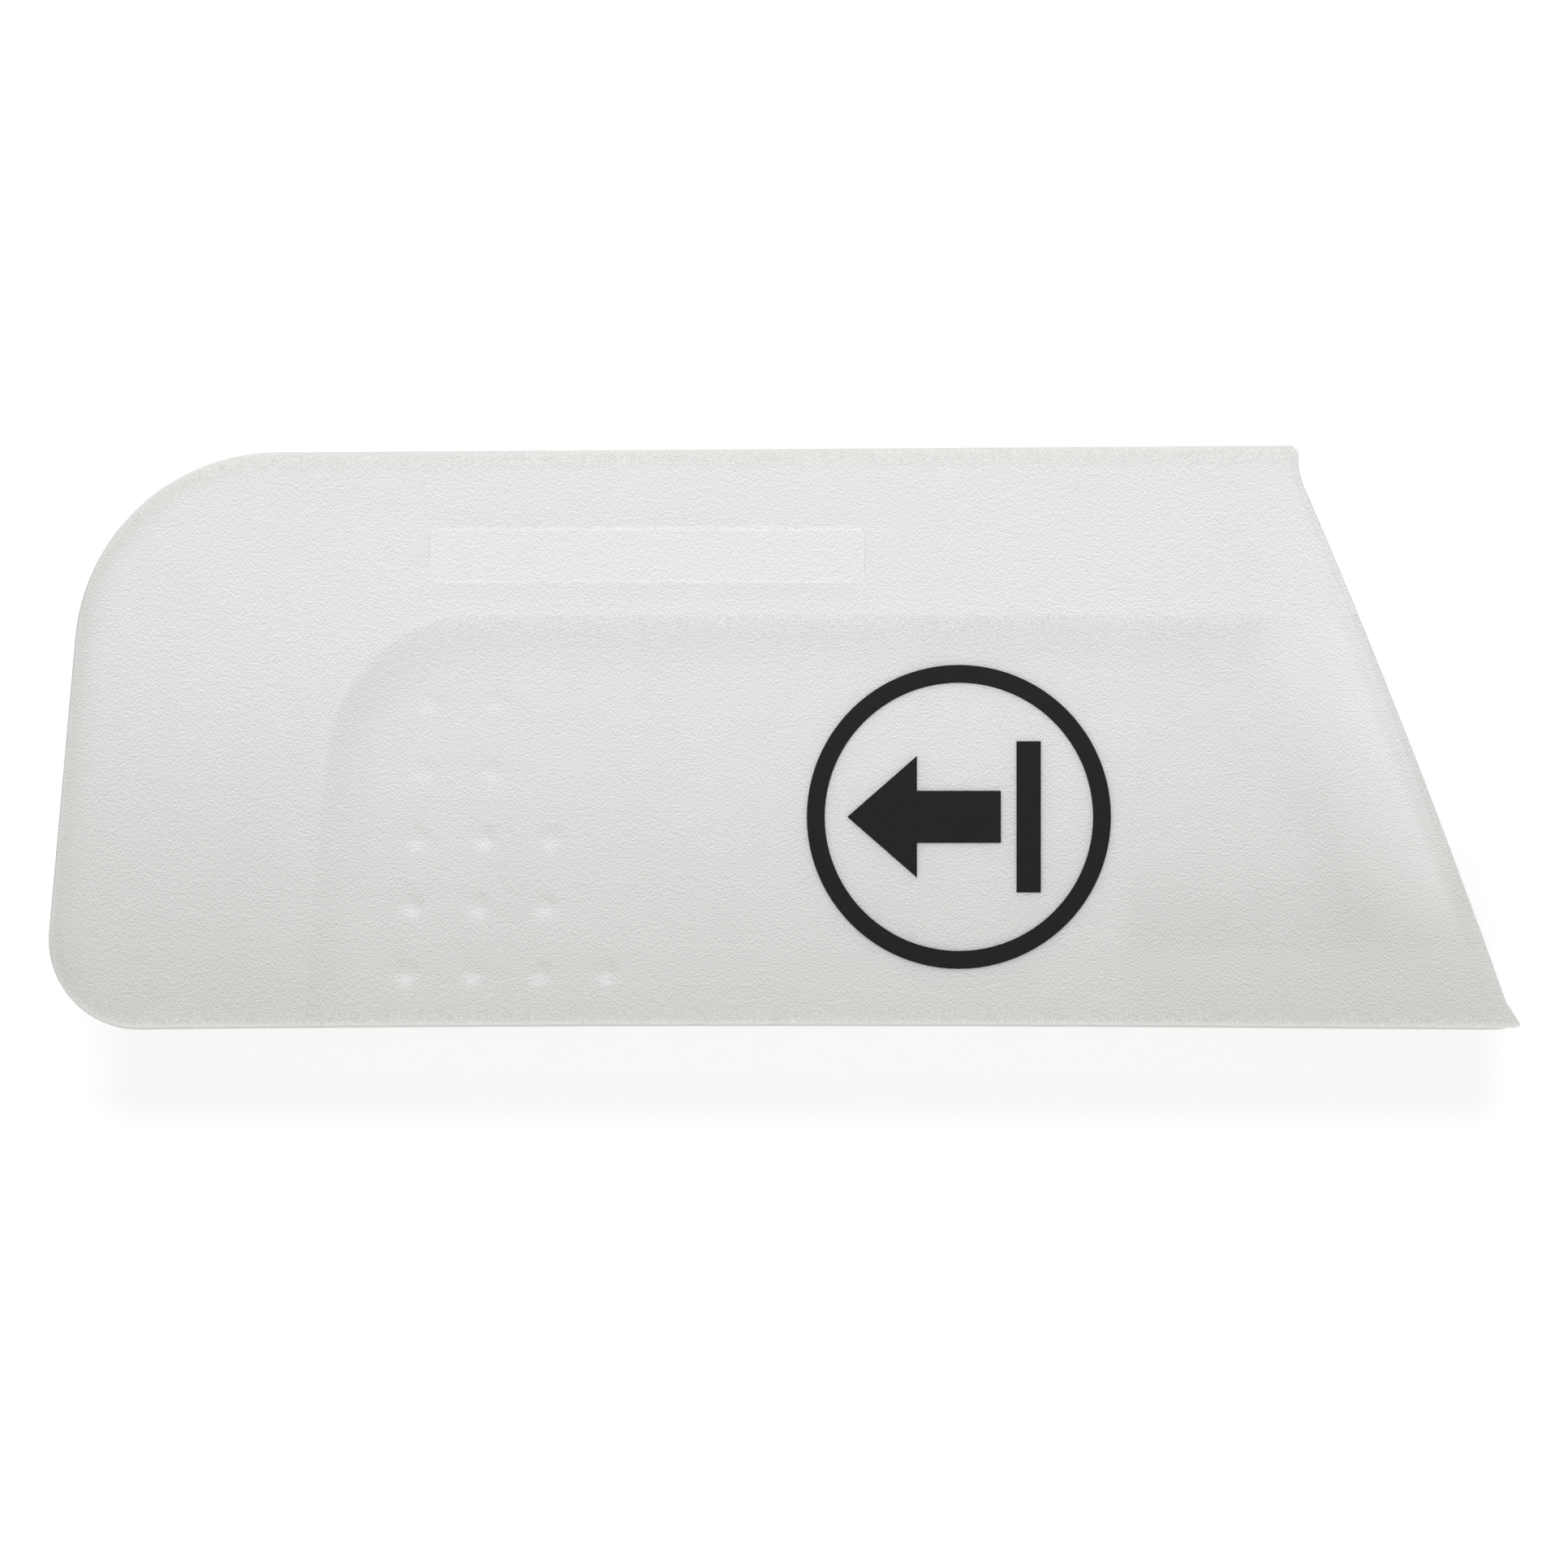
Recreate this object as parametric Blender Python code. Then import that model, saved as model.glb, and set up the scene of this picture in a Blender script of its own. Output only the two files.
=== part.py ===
"""Blade cap for a cable knife, lying on its rear half.

X runs from the closed end to the mouth, Y from the blade's edge to its back, and Z up from the
surface that the cap rests on. Two moulded half shells meet at the parting plane, halfway up.
Shapes of a half are modelled by their height above the parting plane, then moved to their side.
All sizes are in metres.
"""

import math

import bmesh
import bpy
from mathutils import Matrix, Vector

# Overall size
CAP_LENGTH = 0.0847
CAP_HEIGHT = 0.0337
CAP_THICKNESS = 0.0116

# Outline seen from above
CLOSED_END_LEAN_DEG = 5.1
BACK_SLOPE_DEG = 0.37
EDGE_ARCH = 0.00027
BACK_CORNER_RADIUS = 0.0117
EDGE_CORNER_RADIUS = 0.0052
ARC_STEPS = 16
ARCH_STEPS = 8

# Mouth: the back stops short of the lip, and a slanted, slightly bowed edge joins them
BACK_SETBACK = 0.01277
BACK_END_HEIGHT = 0.0017
MOUTH_BOW = 0.0003
MOUTH_STEPS = 4
MOUTH_CORNER_CHAMFER = 0.0004
MOUTH_BEND_RADIUS = 0.0033
LIP_HEIGHT = 0.00178
LIP_LENGTH = 0.0009
LIP_TIP_HEIGHT = 0.00033
LIP_HEEL_LENGTH = 0.0008
LIP_BEND_RADIUS = 0.001

# Rounding of the outer edges, which is widest at the closed end
ROUND_CLOSED_END = 0.0021
ROUND_BACK = 0.0013
ROUND_EDGE = 0.0014
ROUND_HEIGHT = 0.0014
ROUND_SEGMENTS = 6

# Walls and the gap between the two halves
WALL = 0.0016
NOSE_WALL = 0.0012
SEAM_GAP = 0.00005

# Thumb recess: full depth under the back band, fading to nothing near the edge
BACK_BAND = 0.00975
CLOSED_BAND = 0.0151
RECESS_CORNER_RADIUS = 0.0088
RECESS_DEPTH = 0.0009
RECESS_COVE = 0.0028
COVE_HEIGHT = 0.00094
RECESS_RUNOUT = 0.0016
COVE_SEGMENTS = 6

# Cheek: the bulge in the recess that stiffens the mouth, a flattened ball cut off at both ends
CHEEK_LENGTH = 0.062
CHEEK_WIDTH = 0.0092
CHEEK_DEPTH = 0.0024
CHEEK_INSET = 0.0011
CHEEK_DROP = 0.00005
CHEEK_TURN_DEG = 3.0
CHEEK_ABOVE_EDGE = 0.015
CHEEK_EDGE_MARGIN = 0.0033

# Grip dimples, from the back to the edge
DIMPLE_ROWS = (2, 2, 3, 3, 4)
DIMPLE_PITCH = 0.00386
DIMPLE_DIAMETER = 0.0018
DIMPLE_DEPTH = 0.00022
DIMPLE_SIDE_MARGIN = 0.0056
DIMPLE_BACK_MARGIN = 0.00516

# Moulded plate on the back band, with a raised rim
PLATE_LENGTH = 0.025
PLATE_WIDTH = 0.0032
PLATE_CORNER_RADIUS = 0.0004
PLATE_HEIGHT = 0.0001
PLATE_RIM = 0.0002
PLATE_RIM_HEIGHT = 0.00018
PLATE_FROM_TIP = 0.0502
PLATE_BELOW_BACK = 0.00635

# Inside: channel under the bands, pocket under the recess, socket for the knife's nose
CHANNEL_STEP = 0.0012
SOCKET_STEP = 0.0009
NOSE_STOP_DEPTH = 0.0227
BLADE_SPACE = 0.0046
RIB_WIDTH = 0.001
EDGE_RIB_ABOVE_EDGE = 0.00465
GUIDE_RIBS = 2
RIB_END_GAP = 0.0012

# Joint between the halves: tongue in groove, pins in sockets
TONGUE_WIDTH = 0.0006
TONGUE_HEIGHT = 0.0006
TONGUE_CLEARANCE = 0.0001
TONGUE_SETBACK = 0.003
PIN_DIAMETER = 0.002
PIN_HEIGHT = 0.002
PIN_CLEARANCE = 0.0001
BOSS_DIAMETER = 0.004
BOSS_BITE = 0.0005
ROUND_STEPS = 24

# Printed mark: a ring as high as the recess's flat part, with an arrow that leaves a bar
PRINT_FROM_TIP = 0.0323
PRINT_COVE_GAP = 0.0001
PRINT_ABOVE_EDGE = 0.00357
RING_STROKE = 0.00103
RING_STEPS = 96
MARK_CLEARANCE = 0.0013
ARROW_HEAD_LENGTH = 0.004
ARROW_HEAD_WIDTH = 0.007
ARROW_SHAFT_WIDTH = 0.003
BAR_SETBACK = 0.0017
BAR_WIDTH = 0.0014
BAR_GAP = 0.0009
INK_THICKNESS = 0.00006
INK_GAP = 0.00002

# How far helpers reach past what they cut or join
OVERRUN = 0.002
EMBED = 0.0004

FRONT = 1
REAR = -1
PARTING_Z = CAP_THICKNESS / 2
HALF_THICKNESS = CAP_THICKNESS / 2
TIP_X = CAP_LENGTH / 2
BACK_END_X = TIP_X - BACK_SETBACK
BACK_Y = CAP_HEIGHT / 2
EDGE_Y = -CAP_HEIGHT / 2
RECESS_BACK_Y = BACK_Y - BACK_BAND
RECESS_FADE_Y = EDGE_Y + RECESS_RUNOUT
RECESS_TILT = math.atan(RECESS_DEPTH / (RECESS_BACK_Y - RECESS_FADE_Y))
RECESS_HEIGHT = HALF_THICKNESS - RECESS_DEPTH
CHANNEL_HEIGHT = HALF_THICKNESS - WALL
POCKET_HEIGHT = RECESS_HEIGHT - WALL
NOSE_HEIGHT = RECESS_HEIGHT - NOSE_WALL
NOSE_STOP_X = TIP_X - NOSE_STOP_DEPTH
PRINT_TOP_Y = RECESS_BACK_Y - RECESS_COVE - PRINT_COVE_GAP
PRINT_BOTTOM_Y = EDGE_Y + PRINT_ABOVE_EDGE
RING_RADIUS = (PRINT_TOP_Y - PRINT_BOTTOM_Y) / 2
MARK_REACH = RING_RADIUS - RING_STROKE - MARK_CLEARANCE
BAR_RIGHT = MARK_REACH - BAR_SETBACK
BAR_LEFT = BAR_RIGHT - BAR_WIDTH
BODY_END_X = TIP_X + OVERRUN
HOLLOW_END_X = TIP_X + 2 * OVERRUN
CUT_END_X = TIP_X + 3 * OVERRUN

SHELL_WHITE = (0.82, 0.82, 0.81, 1.0)
INK_BLACK = (0.006, 0.006, 0.006, 1.0)


def clear_scene():
    for leftover in list(bpy.data.objects):
        bpy.data.objects.remove(leftover)


def new_collection(name):
    collection = bpy.data.collections.new(name)
    bpy.context.scene.collection.children.link(collection)
    return collection


def closed_side_x(y, inset):
    """Place of the leaning closed end at height y, moved inwards by the inset."""
    lean = math.radians(CLOSED_END_LEAN_DEG)
    centre_x = -TIP_X + EDGE_CORNER_RADIUS
    centre_y = EDGE_Y + EDGE_CORNER_RADIUS
    reach = (EDGE_CORNER_RADIUS - inset) / math.cos(lean)
    return centre_x - reach + (y - centre_y) * math.tan(lean)


def back_y(x, inset):
    """The back's straight line, which falls slightly towards the closed end."""
    return BACK_Y - (BACK_END_X - x) * math.tan(math.radians(BACK_SLOPE_DEG)) - inset


def edge_y(x, inset):
    """The lower edge, which arches slightly upwards between its ends."""
    along = x / TIP_X
    return EDGE_Y + EDGE_ARCH * (1 - along * along) + inset


def fillet(before, corner, after, radius):
    """Points of the arc that rounds a corner."""
    to_before = (before - corner).normalized()
    to_after = (after - corner).normalized()
    half_angle = to_before.angle(to_after) / 2
    centre = corner + (to_before + to_after).normalized() * radius / math.sin(half_angle)
    start = corner + to_before * radius / math.tan(half_angle) - centre
    end = corner + to_after * radius / math.tan(half_angle) - centre
    turn = math.copysign(math.pi - 2 * half_angle, start.x * end.y - start.y * end.x)
    return [
        centre + Matrix.Rotation(turn * step / ARC_STEPS, 2) @ start
        for step in range(ARC_STEPS + 1)
    ]


def rounded(corners):
    """An outline from its corners, each (x, y, radius); radius 0 keeps the corner sharp."""
    places = [Vector((x, y)) for x, y, radius in corners]
    outline = []
    for index, (x, y, radius) in enumerate(corners):
        after = places[(index + 1) % len(corners)]
        if radius > 0:
            outline += fillet(places[index - 1], places[index], after, radius)
        else:
            outline.append(places[index])
    return outline


def sharp(points):
    return [(x, y, 0) for x, y in points]


def closed_corners(end, back, edge):
    """The closed end's two round corners and the arched edge, with an inset for each side."""
    corner_y = back_y(-TIP_X, back)
    foot_x = closed_side_x(EDGE_Y + edge, end)
    corners = [
        (closed_side_x(corner_y, end), corner_y, BACK_CORNER_RADIUS - (end + back) / 2),
        (foot_x, EDGE_Y + edge, EDGE_CORNER_RADIUS - (end + edge) / 2),
    ]
    for step in range(1, ARCH_STEPS):
        x = foot_x + (TIP_X - foot_x) * step / ARCH_STEPS
        corners.append((x, edge_y(x, edge), 0))
    return corners


def mouth_line(share):
    """Point of the bowed mouth edge: share 0 is at the lip, 1 at the back's end."""
    low = Vector((TIP_X - LIP_LENGTH, EDGE_Y + LIP_HEIGHT))
    high = Vector((BACK_END_X, BACK_Y - BACK_END_HEIGHT))
    outwards = Vector((high.y - low.y, low.x - high.x)).normalized()
    return low.lerp(high, share) + outwards * MOUTH_BOW * 4 * share * (1 - share)


def mouth_outline():
    """What the mouth takes off: beyond the lip, the slanted edge and the chamfered end of the back."""
    low = mouth_line(0)
    high = mouth_line(1)
    bowed = [mouth_line(step / MOUTH_STEPS) for step in range(1, MOUTH_STEPS)]
    lip = [
        (TIP_X - 2 * LIP_HEEL_LENGTH, EDGE_Y - LIP_TIP_HEIGHT, 0),
        (TIP_X, EDGE_Y + LIP_TIP_HEIGHT, 0),
        (low.x, low.y, LIP_BEND_RADIUS),
    ]
    back = [
        (high.x, high.y, MOUTH_BEND_RADIUS),
        (BACK_END_X, BACK_Y - MOUTH_CORNER_CHAMFER, 0),
        (BACK_END_X - 2 * MOUTH_CORNER_CHAMFER, BACK_Y + MOUTH_CORNER_CHAMFER, 0),
    ]
    outside = [(CUT_END_X, BACK_Y + MOUTH_CORNER_CHAMFER, 0), (CUT_END_X, EDGE_Y - LIP_TIP_HEIGHT, 0)]
    return rounded(lip + sharp(bowed) + back + outside)


def open_outline(end, back, edge, right):
    """The cap's outline with an inset for each side, carried on past the mouth."""
    open_end = [(right, EDGE_Y + edge), (right, back_y(right, back))]
    return rounded(closed_corners(end, back, edge) + sharp(open_end))


def strip_outline(outer_inset, inner_inset):
    """A band of the wall's rim along the back, closed end and edge, short of the mouth."""
    back_end = BACK_END_X - TONGUE_SETBACK
    edge_end = TIP_X - LIP_LENGTH - TONGUE_SETBACK
    sides = []
    for inset in (outer_inset, inner_inset):
        corners = closed_corners(inset, inset, inset)
        wall = [corner for corner in corners if corner[0] < edge_end]
        ends = [(back_end, back_y(back_end, inset), 0)], [(edge_end, edge_y(edge_end, inset), 0)]
        sides.append(rounded(ends[0] + wall + ends[1]))
    return sides[0] + sides[1][::-1]


def recess_outline(margin, right):
    """The recess, open past the edge and to the right, grown by the margin."""
    top = RECESS_BACK_Y + margin
    bottom = EDGE_Y - OVERRUN
    inset = CLOSED_BAND - margin
    return rounded(
        [
            (closed_side_x(top, inset), top, RECESS_CORNER_RADIUS + margin),
            (closed_side_x(bottom, inset), bottom, 0),
            (right, bottom, 0),
            (right, top, 0),
        ]
    )


def box_outline(left, right, low, high):
    return [Vector((left, low)), Vector((right, low)), Vector((right, high)), Vector((left, high))]


def circle_outline(centre, radius, steps):
    turns = (math.tau * step / steps for step in range(steps))
    return [centre + radius * Vector((math.cos(turn), math.sin(turn))) for turn in turns]


def tidy_mesh(mesh):
    """Welds a mesh, merges its flat caps into single faces and turns the faces outwards."""
    shape = bmesh.new()
    shape.from_mesh(mesh)
    bmesh.ops.remove_doubles(shape, verts=shape.verts, dist=1e-7)
    bmesh.ops.dissolve_limit(
        shape,
        angle_limit=math.radians(0.01),
        verts=shape.verts,
        edges=[edge for edge in shape.edges if on_cap(edge)],
    )
    bmesh.ops.recalc_face_normals(shape, faces=shape.faces)
    shape.to_mesh(mesh)
    shape.free()


def on_cap(edge):
    """Whether both faces of an edge lie flat, so that the edge only splits a cap."""
    return all(abs(face.normal.z) > 0.999 for face in edge.link_faces)


def prism(name, outlines, low, high):
    """Outlines extruded between two heights; an outline inside another one is a hole."""
    curve = bpy.data.curves.new(name, "CURVE")
    curve.dimensions = "2D"
    curve.fill_mode = "BOTH"
    curve.extrude = (high - low) / 2
    for outline in outlines:
        spline = curve.splines.new("POLY")
        spline.points.add(len(outline) - 1)
        for point, place in zip(spline.points, outline):
            point.co = (place.x, place.y, 0, 1)
        spline.use_cyclic_u = True
    flat = bpy.data.objects.new(name, curve)
    bpy.context.scene.collection.objects.link(flat)
    graph = bpy.context.evaluated_depsgraph_get()
    mesh = bpy.data.meshes.new_from_object(flat.evaluated_get(graph))
    bpy.data.objects.remove(flat)
    bpy.data.curves.remove(curve)
    mesh.transform(Matrix.Translation((0, 0, (low + high) / 2)))
    tidy_mesh(mesh)
    return mesh


def to_side(mesh, side):
    """Moves a mesh modelled above the parting plane to the front or the rear half."""
    mesh.transform(Matrix.Translation((0, 0, PARTING_Z)) @ Matrix.Diagonal((1, 1, side, 1)))
    if side == REAR:
        mesh.flip_normals()


def helper(name, mesh, side, cutters):
    """A cutter or joined shape, which isn't a part of its own."""
    to_side(mesh, side)
    solid = bpy.data.objects.new(f"{name}_{'front' if side == FRONT else 'rear'}", mesh)
    solid.hide_render = True
    solid.display_type = "WIRE"
    cutters.objects.link(solid)
    return solid


def combine(solid, operation, other):
    modifier = solid.modifiers.new(f"{operation} {other.name}", "BOOLEAN")
    modifier.operation = operation
    modifier.solver = "EXACT"
    modifier.object = other


def shell_material():
    material = bpy.data.materials.new("shell_plastic")
    material.use_nodes = True
    surface = material.node_tree.nodes["Principled BSDF"]
    surface.inputs["Base Color"].default_value = SHELL_WHITE
    surface.inputs["Roughness"].default_value = 0.55
    surface.inputs["Metallic"].default_value = 0.0
    return material


def ink_material():
    material = bpy.data.materials.new("print_ink")
    material.use_nodes = True
    surface = material.node_tree.nodes["Principled BSDF"]
    surface.inputs["Base Color"].default_value = INK_BLACK
    surface.inputs["Roughness"].default_value = 0.45
    surface.inputs["Metallic"].default_value = 0.0
    return material


def loft(name, rings):
    """A closed mesh through outlines of as many points each, given with their heights."""
    shape = bmesh.new()
    layers = [
        [shape.verts.new((place.x, place.y, height)) for place in outline]
        for outline, height in rings
    ]
    for lower, upper in zip(layers, layers[1:]):
        for index in range(len(lower)):
            shape.faces.new((lower[index - 1], lower[index], upper[index], upper[index - 1]))
    shape.faces.new(layers[0])
    shape.faces.new(layers[-1])
    bmesh.ops.recalc_face_normals(shape, faces=shape.faces)
    mesh = bpy.data.meshes.new(name)
    shape.to_mesh(mesh)
    shape.free()
    return mesh


def half_body(name):
    """Solid half of the cap, whose rounded edge is wider at the closed end than at the sides."""
    rings = [(open_outline(0, 0, 0, BODY_END_X), SEAM_GAP / 2)]
    for step in range(ROUND_SEGMENTS + 1):
        angle = math.pi / 2 * step / ROUND_SEGMENTS
        insets = [side * (1 - math.cos(angle)) for side in (ROUND_CLOSED_END, ROUND_BACK, ROUND_EDGE)]
        height = HALF_THICKNESS - ROUND_HEIGHT * (1 - math.sin(angle))
        rings.append((open_outline(*insets, BODY_END_X), height))
    return loft(name, rings)


def recess_cutter(side, cutters):
    """The recess with its cove, which is a quarter ellipse, tilted so that it fades out."""
    rings = [(recess_outline(0, CUT_END_X), RECESS_DEPTH + OVERRUN)]
    for step in range(COVE_SEGMENTS + 1):
        angle = math.pi / 2 * step / COVE_SEGMENTS
        inwards = RECESS_COVE * (1 - math.cos(angle))
        rings.append((recess_outline(-inwards, CUT_END_X), COVE_HEIGHT * (1 - math.sin(angle))))
    mesh = loft("recess", rings)
    mesh.transform(recess_floor() @ Matrix.Translation((0, -RECESS_BACK_Y, 0)))
    return helper("recess", mesh, side, cutters)


def recess_floor():
    """The recess's floor, from a flat plane whose origin lies under the recess's upper side."""
    hinge = Matrix.Translation((0, RECESS_BACK_Y, RECESS_HEIGHT))
    return hinge @ Matrix.Rotation(-RECESS_TILT, 4, "X")


def cheek(side, cutters):
    """The bulge at the mouth, which lies nearly along the slanted edge."""
    low = mouth_line(0)
    high = mouth_line(1)
    slant = math.atan2(high.y - low.y, high.x - low.x) - math.radians(CHEEK_TURN_DEG)
    share = (CHEEK_ABOVE_EDGE - LIP_HEIGHT) / (high.y - low.y)
    centre = mouth_line(share)
    size = Matrix.Diagonal((CHEEK_LENGTH / 2, CHEEK_WIDTH / 2, CHEEK_DEPTH / 2, 1))
    place = Matrix.Translation(
        (centre.x - CHEEK_INSET, centre.y, HALF_THICKNESS - CHEEK_DROP - CHEEK_DEPTH / 2)
    )
    shape = bmesh.new()
    bmesh.ops.create_uvsphere(
        shape,
        u_segments=64,
        v_segments=24,
        radius=1,
        matrix=place @ Matrix.Rotation(slant, 4, "Z") @ size,
    )
    mesh = bpy.data.meshes.new("cheek")
    shape.to_mesh(mesh)
    shape.free()
    ball = helper("cheek", mesh, side, cutters)
    kept = box_outline(0, CUT_END_X, EDGE_Y + CHEEK_EDGE_MARGIN, RECESS_BACK_Y + EMBED)
    limit = prism("cheek_limit", [kept], 0, CAP_THICKNESS)
    combine(ball, "INTERSECT", helper("cheek_limit", limit, side, cutters))
    return ball


def dimple_cutter(side, cutters):
    """Balls that dent the recess's floor, in rows that follow the leaning side."""
    half_width = DIMPLE_DIAMETER / 2
    ball = (half_width * half_width + DIMPLE_DEPTH * DIMPLE_DEPTH) / (2 * DIMPLE_DEPTH)
    shape = bmesh.new()
    for row, count in enumerate(DIMPLE_ROWS):
        y = RECESS_BACK_Y - DIMPLE_BACK_MARGIN - row * DIMPLE_PITCH
        first_x = closed_side_x(y, CLOSED_BAND) + DIMPLE_SIDE_MARGIN
        for column in range(count):
            place = recess_floor() @ Vector((0, y - RECESS_BACK_Y, ball - DIMPLE_DEPTH))
            place.x = first_x + column * DIMPLE_PITCH
            bmesh.ops.create_uvsphere(
                shape, u_segments=16, v_segments=20, radius=ball, matrix=Matrix.Translation(place)
            )
    mesh = bpy.data.meshes.new("dimples")
    shape.to_mesh(mesh)
    shape.free()
    return helper("dimples", mesh, side, cutters)


def rib_outline():
    """A comb: the cross rib that stops the nose, and the ribs along the blade as its teeth."""
    low = EDGE_Y + EDGE_RIB_ABOVE_EDGE
    spacing = (RECESS_BACK_Y - low) / (GUIDE_RIBS + 1)
    root_x = NOSE_STOP_X - RIB_WIDTH
    top = RECESS_BACK_Y + SOCKET_STEP / 2
    bottom = low - 2 * RIB_WIDTH
    outline = [Vector((NOSE_STOP_X, bottom)), Vector((NOSE_STOP_X, top)), Vector((root_x, top))]
    for index in reversed(range(GUIDE_RIBS + 1)):
        high_y = low + index * spacing
        low_y = high_y - RIB_WIDTH
        end_x = closed_side_x(high_y, CLOSED_BAND) + RIB_END_GAP
        outline += [Vector((root_x, high_y)), Vector((end_x, high_y))]
        outline += [Vector((end_x, low_y)), Vector((root_x, low_y))]
    return outline + [Vector((root_x, bottom))]


def cavity(side, cutters):
    """The hollow: channel under the bands, blade pocket and nose socket under the recess."""
    inside = open_outline(WALL, WALL, WALL, HOLLOW_END_X)
    solid = helper("cavity", prism("cavity", [inside], -OVERRUN, CHANNEL_HEIGHT), side, cutters)
    pocket_end = NOSE_STOP_X - RIB_WIDTH / 2
    kept = [
        ("socket_roof", [recess_outline(SOCKET_STEP, CUT_END_X)], NOSE_HEIGHT),
        ("pocket_roof", [recess_outline(CHANNEL_STEP, pocket_end)], POCKET_HEIGHT),
        ("ribs", [rib_outline()], BLADE_SPACE / 2),
        ("bosses", pin_circles(BOSS_DIAMETER), -2 * OVERRUN),
    ]
    for name, outlines, low in kept:
        mesh = prism(name, outlines, low, CAP_THICKNESS)
        combine(solid, "DIFFERENCE", helper(name, mesh, side, cutters))
    return solid


def pin_places():
    """Centres of the two pins, in the closed end's round corners."""
    centres = []
    corners = closed_corners(0, 0, 0)[:2]
    for index, (x, y, radius) in enumerate(corners):
        before = Vector(corners[1 - index][:2])
        after = Vector((TIP_X, y))
        corner = Vector((x, y))
        to_before = (before - corner).normalized()
        to_after = (after - corner).normalized()
        inwards = (to_before + to_after).normalized()
        half_angle = to_before.angle(to_after) / 2
        arc_centre = corner + inwards * radius / math.sin(half_angle)
        reach = radius - WALL - BOSS_DIAMETER / 2 + BOSS_BITE
        centres.append(arc_centre - inwards * reach)
    return centres


def pin_circles(diameter):
    return [circle_outline(centre, diameter / 2, ROUND_STEPS) for centre in pin_places()]


def tongue_inset():
    return (WALL - TONGUE_WIDTH) / 2


def tongue(cutters):
    """Raised strip of the rear rim, and the two pins beside it."""
    root = SEAM_GAP / 2 + EMBED
    outline = strip_outline(tongue_inset(), tongue_inset() + TONGUE_WIDTH)
    strip = prism("tongue", [outline], -TONGUE_HEIGHT, root)
    pins = prism("pins", pin_circles(PIN_DIAMETER), -PIN_HEIGHT, root)
    return [helper("tongue", strip, REAR, cutters), helper("pins", pins, REAR, cutters)]


def groove(cutters):
    """Groove and sockets of the front rim, which take the tongue and pins with clearance."""
    outer = tongue_inset() - TONGUE_CLEARANCE
    inner = tongue_inset() + TONGUE_WIDTH + TONGUE_CLEARANCE
    strip = prism("groove", [strip_outline(outer, inner)], 0, TONGUE_HEIGHT + TONGUE_CLEARANCE)
    holes = pin_circles(PIN_DIAMETER + 2 * PIN_CLEARANCE)
    sockets = prism("sockets", holes, 0, PIN_HEIGHT + PIN_CLEARANCE)
    return [helper("groove", strip, FRONT, cutters), helper("sockets", sockets, FRONT, cutters)]


def plate_outline(inset):
    x = TIP_X - PLATE_FROM_TIP
    y = BACK_Y - PLATE_BELOW_BACK
    half_length = PLATE_LENGTH / 2 - inset
    half_width = PLATE_WIDTH / 2 - inset
    corners = box_outline(x - half_length, x + half_length, y - half_width, y + half_width)
    return rounded([(corner.x, corner.y, PLATE_CORNER_RADIUS - inset) for corner in corners])


def plate_shapes(cutters):
    """The blank plate: a low field inside a slightly higher rim."""
    root = CHANNEL_HEIGHT + EMBED
    rim = prism("plate_rim", [plate_outline(0)], root, HALF_THICKNESS + PLATE_RIM_HEIGHT)
    floor = HALF_THICKNESS + PLATE_HEIGHT
    field = prism("plate_field", [plate_outline(PLATE_RIM)], floor, CAP_THICKNESS)
    return helper("plate_rim", rim, FRONT, cutters), helper("plate_field", field, FRONT, cutters)


def shell(name, side, material, parts, cutters):
    """One half of the casing, with what is moulded on it."""
    mesh = half_body(name)
    to_side(mesh, side)
    mesh.materials.append(material)
    solid = bpy.data.objects.new(name, mesh)
    parts.objects.link(solid)
    combine(solid, "DIFFERENCE", recess_cutter(side, cutters))
    combine(solid, "UNION", cheek(side, cutters))
    combine(solid, "DIFFERENCE", dimple_cutter(side, cutters))
    combine(solid, "DIFFERENCE", cavity(side, cutters))
    mouth = prism("mouth", [mouth_outline()], -OVERRUN, HALF_THICKNESS + OVERRUN)
    combine(solid, "DIFFERENCE", helper("mouth", mouth, side, cutters))
    return solid


def front_shell(material, parts, cutters):
    solid = shell("front_shell", FRONT, material, parts, cutters)
    for cut in groove(cutters):
        combine(solid, "DIFFERENCE", cut)
    rim, field = plate_shapes(cutters)
    combine(solid, "UNION", rim)
    combine(solid, "DIFFERENCE", field)
    return solid


def rear_shell(material, parts, cutters):
    solid = shell("rear_shell", REAR, material, parts, cutters)
    for added in tongue(cutters):
        combine(solid, "UNION", added)
    return solid


def printed(name, outlines, material, parts):
    """A patch of ink on the recess's floor, drawn about the centre of the print."""
    mesh = prism(name, outlines, INK_GAP, INK_GAP + INK_THICKNESS)
    centre = Vector((TIP_X - PRINT_FROM_TIP, PRINT_TOP_Y - RING_RADIUS - RECESS_BACK_Y, 0))
    mesh.transform(recess_floor() @ Matrix.Translation(centre))
    to_side(mesh, FRONT)
    solid = bpy.data.objects.new(name, mesh)
    solid.data.materials.append(material)
    parts.objects.link(solid)
    return solid


def arrow_outline():
    """An arrow that points to the closed end."""
    tip = -MARK_REACH
    neck = tip + ARROW_HEAD_LENGTH
    tail = BAR_LEFT - BAR_GAP
    head = ARROW_HEAD_WIDTH / 2
    shaft = ARROW_SHAFT_WIDTH / 2
    lower = [Vector((tip, 0)), Vector((neck, -head)), Vector((neck, -shaft)), Vector((tail, -shaft))]
    upper = [Vector((point.x, -point.y)) for point in reversed(lower[1:])]
    return lower + upper


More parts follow.
